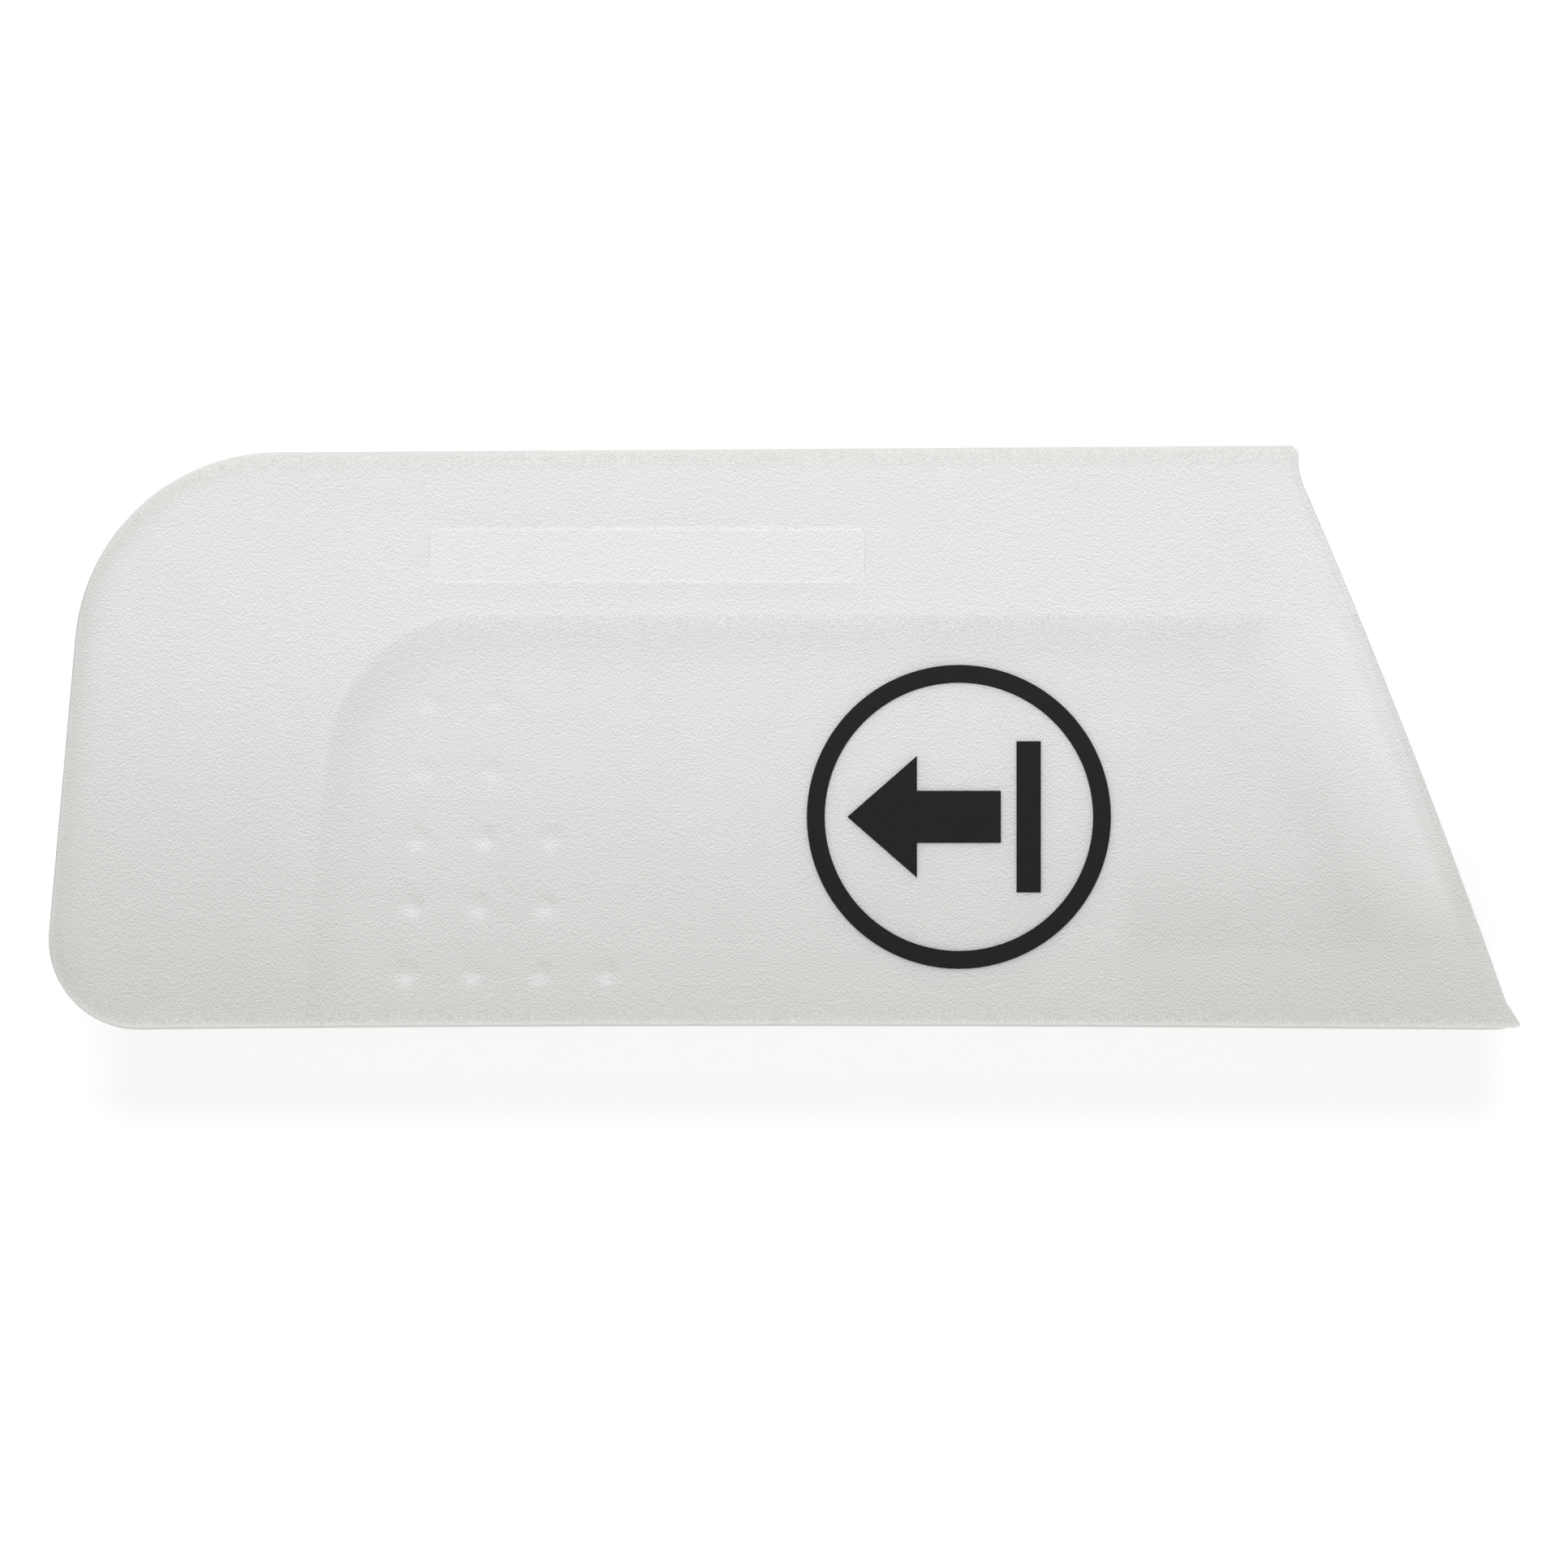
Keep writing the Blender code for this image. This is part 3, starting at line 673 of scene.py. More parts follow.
def smooth_min(first, second, blend):
    """The lower of two heights, with the crease between them rounded."""
    overlap = np.maximum(blend - np.abs(first - second), 0)
    return np.minimum(first, second) - overlap * overlap / (BLEND_SHARE * blend)


def smooth_max(first, second, blend):
    return -smooth_min(-first, -second, blend)


def mouth_x(y):
    """Place of the bowed mouth edge at a height."""
    low = mouth_line(0)
    high = mouth_line(1)
    share = np.clip((y - low.y) / (high.y - low.y), 0, 1)
    bow = MOUTH_BOW / math.cos(math.atan2(low.x - high.x, high.y - low.y))
    return low.x + (high.x - low.x) * share + bow * 4 * share * (1 - share)


def crest_x(y):
    """The cheek's crest, which leaves the mouth's edge towards the lip."""
    along = np.clip((RECESS_BACK_Y - y) / CHEEK_SPAN, 0, CHEEK_GROWTH_END)
    inset = CHEEK_TOP_INSET + CHEEK_INSET_GROWTH * along + CHEEK_END_FLARE * along**CHEEK_FLARE_POWER
    return mouth_x(y) - inset


def recess_floor(y):
    return RECESS_HEIGHT + (RECESS_BACK_Y - y) * RECESS_SLOPE


def smooth_step(share):
    share = np.clip(share, 0, 1)
    return share * share * (3 - 2 * share)


def cheek_crest(y, shape):
    """Height of the cheek's crest, which sinks into the recess's floor at its lower end."""
    off_middle = (y - CHEEK_MIDDLE_Y) / CHEEK_HALF_LENGTH
    crest = HALF_THICKNESS - CHEEK_DROP - CHEEK_SAG * off_middle * off_middle
    return smooth_max(crest, recess_floor(y), shape.cheek_blend)


def cheek_flank(x, y, shape):
    """The cheek's broad back, which falls from its shoulder to its foot on the recess's floor."""
    before_crest = crest_x(y) - x
    fall = smooth_step((before_crest - CHEEK_SHOULDER) / (CHEEK_FOOT - CHEEK_SHOULDER))
    floor = recess_floor(y)
    return floor + (cheek_crest(y, shape) - floor) * (1 - fall)


def cheek_strip(x, y, shape):
    """The plane that falls from the cheek's crest to the mouth, and flattens towards the lip."""
    fade = 1 - smooth_step((STRIP_FADE_TOP - y) / STRIP_FADE_LENGTH)
    lift = LIFT_OFF * (1 - fade)
    return cheek_crest(y, shape) + lift - (x - crest_x(y)) * shape.cheek_strip_slope


def recess_inset(x, y):
    """Distance inside the recess's border."""
    from_top = RECESS_BACK_Y - y
    from_side = (x - closed_side_x(y, CLOSED_BAND)) * math.cos(END_LEAN)
    radius = np.full_like(x, RECESS_CORNER_RADIUS)
    return corner_distance(from_side, from_top, math.pi / 2 + END_LEAN, radius)


def recess_height(x, y):
    """The recess's tilted floor with its cove, which rises on outside the border."""
    inset = recess_inset(x, y)
    depth = np.maximum(HALF_THICKNESS - recess_floor(y), 0)
    cove = depth * COVE_EXCESS * np.clip(1 - inset / RECESS_COVE, 0, None) ** COVE_POWER
    return recess_floor(y) + cove


def dimple_places():
    """Centres of the grip dimples, in rows that follow the leaning side."""
    places = []
    for row, count in enumerate(DIMPLE_ROWS):
        y = RECESS_BACK_Y - DIMPLE_BACK_MARGIN - row * DIMPLE_PITCH
        first_x = closed_side_x(y, CLOSED_BAND) + DIMPLE_SIDE_MARGIN
        places += [Vector((first_x + column * DIMPLE_PITCH, y)) for column in range(count)]
    return places


def dimple_fall(x, y, depth):
    """Depth of the dimples, bowls whose rims run softly into the floor."""
    radius = DIMPLE_DIAMETER / 2
    fall = np.zeros_like(x)
    for place in dimple_places():
        share = np.hypot(x - place.x, y - place.y) / radius
        cap = np.clip(1 - share * share, 0, 1)
        fall = np.maximum(fall, depth * cap**DIMPLE_SOFTNESS)
    return fall


def plate_insets(x, y):
    """How far inside the blank plate's ends and its long sides each point lies."""
    return PLATE_LENGTH / 2 - np.abs(x - PLATE_X), PLATE_WIDTH / 2 - np.abs(y - PLATE_Y)


def plate_rise(x, y, shape):
    """Height of the blank plate and its rim."""
    radius = np.full_like(x, PLATE_CORNER_RADIUS)
    inset = corner_distance(*plate_insets(x, y), math.pi / 2, radius)
    rise = np.clip(inset / PLATE_SIDE, 0, 1) * shape.plate_rim_height
    inner = np.clip((inset - PLATE_RIM) / PLATE_SIDE, 0, 1)
    return rise - inner * (shape.plate_rim_height - PLATE_HEIGHT)


def path_distance(x, y, path):
    """Shortest distance of each point to a path."""
    nearest = np.full_like(x, math.inf)
    for start, end in zip(path, path[1:]):
        run = end - start
        share = ((x - start.x) * run.x + (y - start.y) * run.y) / run.length_squared
        share = np.clip(share, 0, 1)
        gap = np.hypot(x - start.x - share * run.x, y - start.y - share * run.y)
        nearest = np.minimum(nearest, gap)
    return nearest


def skin_height(x, y, share, side, shape):
    """Height of a half's outer skin above the parting plane."""
    low = smooth_max(recess_height(x, y), cheek_flank(x, y, shape), shape.crease_blend)
    height = smooth_min(np.full_like(x, HALF_THICKNESS), low, shape.crease_blend)
    in_recess = recess_inset(x, y) > 0
    strip = np.where(in_recess, cheek_strip(x, y, shape), HALF_THICKNESS + LIFT_OFF)
    height = smooth_min(height, strip, shape.crest_blend)
    height = height - dimple_fall(x, y, shape.dimple_depth)
    if side == FRONT:
        height = height + plate_rise(x, y, shape)
    height = height - shape.round_height * quarter_fall(share)
    from_mouth = path_distance(x, y, mouth_path())
    return height - shape.mouth_round * quarter_fall(from_mouth / shape.mouth_round)


def inside_outline(x, y, outline):
    """Whether each point lies inside a closed outline."""
    crossings = np.zeros(x.shape, int)
    for start, end in zip(outline, outline[1:] + outline[:1]):
        spans = (start.y > y) != (end.y > y)
        rise = end.y - start.y if end.y != start.y else WELD
        crossing_x = start.x + (y - start.y) / rise * (end.x - start.x)
        crossings += spans & (x < crossing_x)
    return crossings % 2 == 1


def shortened(path, closed):
    """A path whose long sides are divided, so that the skin's triangles stay well formed."""
    ends = path[1:] + path[:1] if closed else path[1:]
    points = []
    for start, end in zip(path, ends):
        pieces = max(1, math.ceil((end - start).length / LONGEST_SIDE))
        points += [start.lerp(end, step / pieces) for step in range(pieces)]
    return points if closed else points + [path[-1]]


def beside(path, offset):
    """A path moved to its left by an offset."""
    moved = []
    for index, point in enumerate(path):
        before = path[max(index - 1, 0)]
        after = path[min(index + 1, len(path) - 1)]
        run = (after - before).normalized()
        moved.append(point + Vector((-run.y, run.x)) * offset)
    return moved


def rounding_shares(steps):
    """Shares across a quarter ellipse at even turns, from its outer end to its inner end."""
    return [1 - math.cos(math.pi / 2 * step / steps) for step in range(steps + 1)]


class SkinLines:
    """Points and lines that a skin's mesh keeps, some with a known share of the edge rounding."""

    def __init__(self):
        self.points = []
        self.lines = []
        self.shares = []

    def add(self, path, closed=False, share=math.nan):
        first = len(self.points)
        path = shortened(path, closed)
        self.points += path
        self.shares += [share] * len(path)
        count = len(path)
        last = count if closed else count - 1
        self.lines += [(first + step, first + (step + 1) % count) for step in range(last)]

    def add_free(self, points):
        self.points += points
        self.shares += [math.nan] * len(points)


def cheek_path(offset):
    """A line across the recess that keeps its distance before the cheek's crest."""
    steps = math.ceil((RECESS_BACK_Y - EDGE_Y) / LONGEST_SIDE)
    run = RECESS_BACK_Y - RECESS_FADE_Y
    heights = [RECESS_BACK_Y - run * step / steps for step in range(steps + 1)]
    return [Vector((float(crest_x(y)) - offset, y)) for y in heights]


def lattice(left, right, low, high, spacing):
    """Points of a triangular lattice in a box."""
    row_height = spacing * math.sqrt(3) / 2
    rows = int((high - low) / row_height)
    columns = int((right - left) / spacing)
    points = []
    for row in range(rows + 1):
        shift = spacing / 2 * (row % 2)
        for column in range(columns + 1):
            points.append(Vector((left + shift + column * spacing, low + row * row_height)))
    return points


def free_points(lines, shape):
    """Lattice points between the lines: coarse on the flats, and fine on the cheek."""
    coarse = lattice(-TIP_X, TIP_X, EDGE_Y, BACK_Y, SKIN_SPACING)
    fine = lattice(0, TIP_X, RECESS_FADE_Y, RECESS_BACK_Y, CHEEK_SPACING)
    kept = []
    tree = KDTree(len(lines.points))
    for index, point in enumerate(lines.points):
        tree.insert((point.x, point.y, 0), index)
    tree.balance()
    for points, spacing, on_cheek in ((coarse, SKIN_SPACING, False), (fine, CHEEK_SPACING, True)):
        x = np.array([point.x for point in points])
        y = np.array([point.y for point in points])
        from_crest = crest_x(y) - x
        in_cheek = (from_crest < CHEEK_FOOT + spacing) & (y < RECESS_BACK_Y) & (y > RECESS_FADE_Y)
        flat = outline_share(x, y, shape.wall_draft) > FLAT_SHARE
        inset = recess_inset(x, y)
        off_cove = (inset < -RECESS_COVE * COVE_MARGIN) | (inset > RECESS_COVE * (1 + COVE_MARGIN))
        wanted = flat & (in_cheek == on_cheek) & (off_cove | on_cheek)
        for point, keep in zip(points, wanted):
            if keep and tree.find((point.x, point.y, 0))[2] > spacing * LINE_SHARE:
                kept.append(point)
    return kept


def skin_lines(side, shape):
    """Everything that the mesh of one half's outer skin follows."""
    lines = SkinLines()
    draft = shape.wall_draft
    for share in rounding_shares(ROUND_STEPS):
        lines.add(open_outline(*edge_insets(share, draft), CUT_END_X), closed=True, share=share)
    mouth = mouth_path()
    for share in rounding_shares(MOUTH_ROUND_STEPS):
        lines.add(beside(mouth, shape.mouth_round * share))
    for share in COVE_SHARES:
        outline = recess_outline(-RECESS_COVE * share, CUT_END_X)
        lines.add(outline, closed=True)
    for offset in FADE_OFFSETS:
        y = RECESS_FADE_Y + offset
        lines.add([Vector((closed_side_x(y, CLOSED_BAND), y)), Vector((TIP_X, y))])
    for offset in CHEEK_LINES:
        lines.add(cheek_path(offset))
    for place in dimple_places():
        for share in DIMPLE_RINGS:
            radius = share * DIMPLE_DIAMETER / 2
            lines.add(circle_outline(place, radius, DIMPLE_POINTS), closed=True)
    if side == FRONT:
        for inset in (0, PLATE_SIDE, PLATE_RIM, PLATE_RIM + PLATE_SIDE):
            lines.add(plate_outline(inset), closed=True)
    lines.add_free(free_points(lines, shape))
    return lines


def skin_triangles(lines, draft):
    """Places, known shares and triangles of the skin, cut off at the mouth."""
    scaled = [point * MILLI for point in lines.points]
    found = delaunay_2d_cdt(scaled, lines.lines, [], CDT_WHOLE, CDT_REACH, True)
    places, _, faces, sources, _, _ = found
    x = np.array([place.x for place in places]) / MILLI
    y = np.array([place.y for place in places]) / MILLI
    corners = np.array([list(face) for face in faces])
    middle_x = x[corners].mean(axis=1)
    middle_y = y[corners].mean(axis=1)
    outer = open_outline(draft, draft, draft, CUT_END_X)
    beyond = inside_outline(middle_x, middle_y, beyond_mouth())
    corners = corners[inside_outline(middle_x, middle_y, outer) & ~beyond]
    used = np.unique(corners)
    renumber = np.full(len(places), -1)
    renumber[used] = np.arange(len(used))
    known = np.full(len(places), math.nan)
    for index, origins in enumerate(sources):
        shares = [lines.shares[origin] for origin in origins if not math.isnan(lines.shares[origin])]
        if shares:
            known[index] = min(shares)
    return x[used], y[used], known[used], renumber[corners]


def border_loop(corners):
    """Vertices of the skin's border, in the order in which they follow each other."""
    following = {}
    directed = {(int(a), int(b)) for face in corners for a, b in zip(face, np.roll(face, -1))}
    for start, end in directed:
        if (end, start) not in directed:
            following[start] = end
    first = next(iter(following))
    loop = [first]
    while following[loop[-1]] != first:
        loop.append(following[loop[-1]])
    if len(loop) != len(following):
        raise RuntimeError("the skin's border isn't a single loop")
    return loop


def outward(x, y):
    """Direction away from the cap at points of its closed outline."""
    here = outline_inset(x, y, 0, 0, 0)
    across = (here - outline_inset(x + PROBE, y, 0, 0, 0)) / PROBE
    upwards = (here - outline_inset(x, y + PROBE, 0, 0, 0)) / PROBE
    return across, upwards


def new_mesh(name, shape):
    """A mesh with the faces of a bmesh, which is freed."""
    mesh = bpy.data.meshes.new(name)
    shape.to_mesh(mesh)
    shape.free()
    return mesh


def linked(name, data):
    """An object in the scene's collection."""
    item = bpy.data.objects.new(name, data)
    bpy.context.scene.collection.objects.link(item)
    return item


def placed(name, mesh, side):
    """An object of the front or the rear half, for a mesh modelled above the parting plane."""
    mesh.transform(Matrix.Translation((0, 0, PARTING_Z)) @ Matrix.Diagonal((1, 1, side, 1)))
    if side == REAR:
        mesh.flip_normals()
    return linked(name, mesh)


def skin_block(name, side, shape):
    """A half as a solid block: the skin, the drafted side walls and the flat parting face."""
    x, y, known, corners = skin_triangles(skin_lines(side, shape), shape.wall_draft)
    share = np.where(np.isnan(known), outline_share(x, y, shape.wall_draft), known)
    height = skin_height(x, y, share, side, shape)
    loop = border_loop(corners)
    across, upwards = outward(x[loop], y[loop])
    moves = share[loop] < ON_OUTLINE_SHARE
    seam = SEAM_GAP / 2
    levels = [
        (shape.wall_draft, seam + shape.seam_chamfer),
        (shape.wall_draft - shape.seam_chamfer, seam),
    ]
    block = bmesh.new()
    verts = [block.verts.new(place) for place in zip(x, y, height)]
    for face in corners:
        block.faces.new([verts[index] for index in face])
    ring = [verts[index] for index in loop]
    for reach, level in levels:
        ring_x = x[loop] + across * reach * moves
        ring_y = y[loop] + upwards * reach * moves
        lower = [block.verts.new((px, py, level)) for px, py in zip(ring_x, ring_y)]
        for index in range(len(ring)):
            block.faces.new((ring[index], ring[index - 1], lower[index - 1], lower[index]))
        ring = lower
    block.faces.new(ring[::-1])
    bmesh.ops.recalc_face_normals(block, faces=block.faces)
    return new_mesh(name, block)


def prism(name, outlines, low, high, side):
    """An object of one half: outlines extruded between two heights above the parting plane."""
    shape = bmesh.new()
    for outline in outlines:
        lower = [shape.verts.new((place.x, place.y, low)) for place in outline]
        upper = [shape.verts.new((place.x, place.y, high)) for place in outline]
        for index in range(len(outline)):
            shape.faces.new((lower[index - 1], lower[index], upper[index], upper[index - 1]))
        shape.faces.new(lower)
        shape.faces.new(upper)
    bmesh.ops.recalc_face_normals(shape, faces=shape.faces)
    return placed(name, new_mesh(name, shape), side)


def combined(solid, operation, others):
    """Joins other shapes to a solid or cuts them from it, and removes them."""
    for other in others:
        modifier = solid.modifiers.new(other.name, "BOOLEAN")
        modifier.operation = operation
        modifier.solver = "EXACT"
        modifier.object = other
    graph = bpy.context.evaluated_depsgraph_get()
    mesh = bpy.data.meshes.new_from_object(solid.evaluated_get(graph))
    solid.modifiers.clear()
    solid.data = mesh
    for other in others:
        bpy.data.objects.remove(other)
    return solid


def rib_outline():
    """A comb: the cross rib that stops the nose, and the ribs along the blade as its teeth."""
    low = EDGE_Y + EDGE_RIB_ABOVE_EDGE
    spacing = (RECESS_BACK_Y - low) / (GUIDE_RIBS + 1)
    root_x = NOSE_STOP_X - RIB_WIDTH
    top = RECESS_BACK_Y + SOCKET_STEP / 2
    bottom = low - 2 * RIB_WIDTH
    outline = [Vector((NOSE_STOP_X, bottom)), Vector((NOSE_STOP_X, top)), Vector((root_x, top))]
    for index in reversed(range(GUIDE_RIBS + 1)):
        high_y = low + index * spacing
        low_y = high_y - RIB_WIDTH
        end_x = closed_side_x(high_y, CLOSED_BAND) + RIB_END_GAP
        outline += [Vector((root_x, high_y)), Vector((end_x, high_y))]
        outline += [Vector((end_x, low_y)), Vector((root_x, low_y))]
    return outline + [Vector((root_x, bottom))]


def pin_places():
    """Centres of the two pins, in the closed end's round corners."""
    centres = []
    corners = closed_corners(0, 0, 0)[:2]
    for index, (x, y, radius, _) in enumerate(corners):
        before = Vector(corners[1 - index][:2])
        corner = Vector((x, y))
        _, _, inwards, half_angle = corner_directions(before, corner, Vector((TIP_X, y)))
        arc_centre = corner + inwards * radius / math.sin(half_angle)
        reach = radius - WALL - BOSS_DIAMETER / 2 + BOSS_BITE
        centres.append(arc_centre - inwards * reach)
    return centres


def pin_circles(diameter):
    return [circle_outline(centre, diameter / 2, PIN_STEPS) for centre in pin_places()]


def cavity(side):
    """The hollow: channel under the bands, blade pocket and nose socket under the recess."""
    inside = open_outline(WALL, WALL, WALL, HOLLOW_END_X)
    solid = prism("cavity", [inside], -OVERRUN, CHANNEL_HEIGHT, side)
    pocket_end = NOSE_STOP_X - RIB_WIDTH / 2
    kept = [
        ("socket_roof", [recess_outline(SOCKET_STEP, CUT_END_X)], NOSE_HEIGHT),
        ("pocket_roof", [recess_outline(CHANNEL_STEP, pocket_end)], POCKET_HEIGHT),
        ("ribs", [rib_outline()], BLADE_SPACE / 2),
        ("bosses", pin_circles(BOSS_DIAMETER), -2 * OVERRUN),
    ]
    cuts = [prism(name, outlines, low, CAP_THICKNESS, side) for name, outlines, low in kept]
    return combined(solid, "DIFFERENCE", cuts)


def tongue_and_pins():
    """Raised strip of the rear rim, and the two pins beside it."""
    root = SEAM_GAP / 2 + EMBED
    inset = (WALL - TONGUE_WIDTH) / 2
    outline = strip_outline(inset, inset + TONGUE_WIDTH)
    strip = prism("tongue", [outline], -TONGUE_HEIGHT, root, REAR)
    return [strip, prism("pins", pin_circles(PIN_DIAMETER), -PIN_HEIGHT, root, REAR)]


def groove_and_sockets():
    """Groove and sockets of the front rim, which take the tongue and pins with clearance."""
    outer = (WALL - TONGUE_WIDTH) / 2 - TONGUE_CLEARANCE
    inner = outer + TONGUE_WIDTH + 2 * TONGUE_CLEARANCE
    outline = strip_outline(outer, inner)
    groove = prism("groove", [outline], 0, TONGUE_HEIGHT + TONGUE_CLEARANCE, FRONT)
    holes = pin_circles(PIN_DIAMETER + 2 * PIN_CLEARANCE)
    return [groove, prism("sockets", holes, 0, PIN_HEIGHT + PIN_CLEARANCE, FRONT)]


def finish_mesh(mesh):
    """Welds a finished shell, checks that it is closed, and shades it smooth between sharp edges."""
    shape = bmesh.new()
    shape.from_mesh(mesh)
    bmesh.ops.remove_doubles(shape, verts=shape.verts, dist=WELD)
    bmesh.ops.dissolve_degenerate(shape, edges=shape.edges, dist=WELD)
    open_edges = sum(1 for edge in shape.edges if len(edge.link_faces) != 2)
    if open_edges:
        raise RuntimeError(f"{mesh.name} has {open_edges} open edges")
    shape.to_mesh(mesh)
    shape.free()
    mesh.shade_smooth()
    mesh.set_sharp_from_angle(angle=math.radians(SHARP_EDGE_DEG))


def vertex_layer(mesh, name, values):
    layer = mesh.attributes.new(name, "FLOAT", "POINT")
    layer.data.foreach_set("value", values.astype(np.float32))


def mark_surface(mesh, side):
    """Stores where the skin is smoother and has a painted glint, and how far it is from the
    recess's border and the mouth.
    """
    places = np.empty(len(mesh.vertices) * 3, np.float32)
    mesh.vertices.foreach_get("co", places)
    x, y, z = places.reshape(-1, 3).T.astype(float)
    spots = dimple_fall(x, y, 1.0)
    if side == FRONT:
        on_plate = np.minimum(*plate_insets(x, y)) >= 0
        spots = np.maximum(spots, PLATE_SPOT * on_plate)
    spots = spots * ((z - PARTING_Z) * side > POCKET_HEIGHT)
    vertex_layer(mesh, SMOOTH_GLINT_LAYER, spots)
    vertex_layer(mesh, RECESS_LAYER, np.clip(recess_inset(x, y), -LAYER_REACH, LAYER_REACH))
    vertex_layer(mesh, MOUTH_LAYER, np.minimum(path_distance(x, y, mouth_path()), LAYER_REACH))


def half_shell(name, side, shape, material):
    """One half of the casing, hollowed and open at the mouth."""
    solid = placed(name, skin_block(name, side, shape), side)
    combined(solid, "DIFFERENCE", [cavity(side)])
    if side == FRONT:
        combined(solid, "DIFFERENCE", groove_and_sockets())
    else:
        combined(solid, "UNION", tongue_and_pins())
    finish_mesh(solid.data)
    mark_surface(solid.data, side)
    solid.data.materials.clear()
    solid.data.materials.append(material)
    return solid


class Nodes:
    """Short calls for building a node tree."""

    def __init__(self, tree):
        tree.nodes.clear()
        self.tree = tree

    def add(self, kind, inputs=None, **settings):
        node = self.tree.nodes.new(kind)
        for name, value in settings.items():
            setattr(node, name, value)
        for name, value in (inputs or {}).items():
            if isinstance(value, bpy.types.NodeSocket):
                self.tree.links.new(value, node.inputs[name])
            else:
                node.inputs[name].default_value = value
        return node

    def noise(self, place, size, detail=NOISE_DETAIL):
        """Noise with features of a size in metres, as a factor about one half."""
        inputs = {"Vector": place, "Scale": 1 / size, "Detail": detail}
        return self.add("ShaderNodeTexNoise", inputs).outputs["Fac"]

    def math(self, operation, first, second=0.0, clamp=False):
        node = self.add("ShaderNodeMath", {0: first, 1: second}, operation=operation, use_clamp=clamp)
        return node.outputs["Value"]

    def product(self, first, *others):
        for other in others:
            first = self.math("MULTIPLY", first, other)
        return first

    def vector(self, operation, inputs):
        return self.add("ShaderNodeVectorMath", inputs, operation=operation).outputs["Vector"]

    def parts(self, vector):
        return self.add("ShaderNodeSeparateXYZ", {"Vector": vector}).outputs

    def ramp(self, value, from_low, from_high, to_low, to_high, smooth=False):
        inputs = {
            "Value": value,
            "From Min": from_low,
            "From Max": from_high,
            "To Min": to_low,
            "To Max": to_high,
        }
        kind = "SMOOTHSTEP" if smooth else "LINEAR"
        return self.add("ShaderNodeMapRange", inputs, interpolation_type=kind).outputs["Result"]

    def rise(self, value, low, high):
        """0 up to the low value and 1 from the high one on, with a soft step between them."""
        return self.ramp(value, low, high, 0, 1, smooth=True)

    def fall(self, value, low, high):
        return self.ramp(value, low, high, 1, 0, smooth=True)

    def varied(self, noise, middle, spread):
        """A value that a noise raises or lowers by up to a spread."""
        return self.ramp(noise, *NOISE_RANGE, middle - spread, middle + spread)

    def blend(self, share, first, second):
        """The first value where the share is 0, and the second where it is 1."""
        return self.add("ShaderNodeMix", {0: share, 2: first, 3: second}).outputs[0]

    def attribute(self, name):
        return self.add("ShaderNodeAttribute", attribute_name=name).outputs["Fac"]

    def beyond_line(self, x, y, start, slope):
        """How far x lies beyond a slanted line, given by its place at y = 0 and its slope."""
        line = self.math("ADD", self.product(y, slope), start)
        return self.math("SUBTRACT", x, line)

    def bump(self, height, depth, strength=1.0):
        inputs = {"Height": height, "Distance": depth, "Strength": strength}
        return self.add("ShaderNodeBump", inputs).outputs["Normal"]


def opaque_grey(level):
    return (level, level, level, 1.0)


def with_background(nodes, lit, shown):
    """A shader that lights the cap, with another for the rays that show the background.

    Those rays come from the camera, from a mirroring surface or through a clear one."""
    path = nodes.add("ShaderNodeLightPath").outputs
    seen = nodes.math("ADD", path["Is Camera Ray"], path["Is Glossy Ray"])
    seen = nodes.math("ADD", seen, path["Is Transmission Ray"], clamp=True)
    return nodes.add("ShaderNodeMixShader", {"Fac": seen, 1: lit, 2: shown}).outputs["Shader"]


def border_shade(nodes, x, y, inset, in_recess, to_mouth):
    """The recess's cove is darker, as painted shade, most of all round its corner and along its
    leaning side.
    """
    from_side = nodes.beyond_line(x, y, closed_side_x(0, CLOSED_BAND), math.tan(END_LEAN))
    corner = nodes.product(
        nodes.ramp(y, *SIDE_SHADE_Y, 0, SIDE_SHADE, smooth=True),
        nodes.fall(from_side, *SIDE_SHADE_X),
    )
    return nodes.product(
        nodes.math("ADD", corner, BORDER_SHADE),
        in_recess,
        nodes.ramp(inset, SOFT_LINE, BORDER_WIDTH, 1, 0),
        nodes.fall(to_mouth, *BORDER_END),
    )


def inner_shade(nodes, x, y):
    """The wall is brighter over the blade's pocket and darker over the nose socket, as painted glow
    and painted shade.
    """
    pocket = nodes.ramp(y, *SHELF_Y, POCKET_LOW, 1 + POCKET_GLOW, smooth=True)
    socket_low = nodes.ramp(y, *SHELF_Y, SOCKET_LOW, SOCKET_DARK, smooth=True)
    socket_rise = nodes.ramp(y, *SOCKET_FADE_Y, 0, 1 - SOCKET_DARK, smooth=True)
    socket = nodes.math("ADD", socket_low, socket_rise)
    in_socket = nodes.rise(x, NOSE_STOP_X - SOCKET_EDGE, NOSE_STOP_X + SOCKET_EDGE)
    return nodes.blend(in_socket, pocket, socket)


def mouth_glow(nodes, y, to_mouth):
    """Painted glow for light that enters the mouth and shines through the cheek."""
    return nodes.product(
        nodes.ramp(to_mouth, -MOUTH_GLOW_END, -MOUTH_GLOW_START, 0, MOUTH_GLOW),
        nodes.ramp(y, GLOW_FADE_HIGH_Y, RECESS_BACK_Y, MOUTH_GLOW_LOW, MOUTH_GLOW_TOP),
        nodes.rise(y, GLOW_FADE_LOW_Y, GLOW_FADE_HIGH_Y),
        nodes.fall(to_mouth, -MOUTH_GLOW_START, -MOUTH_GLOW_EDGE),
    )


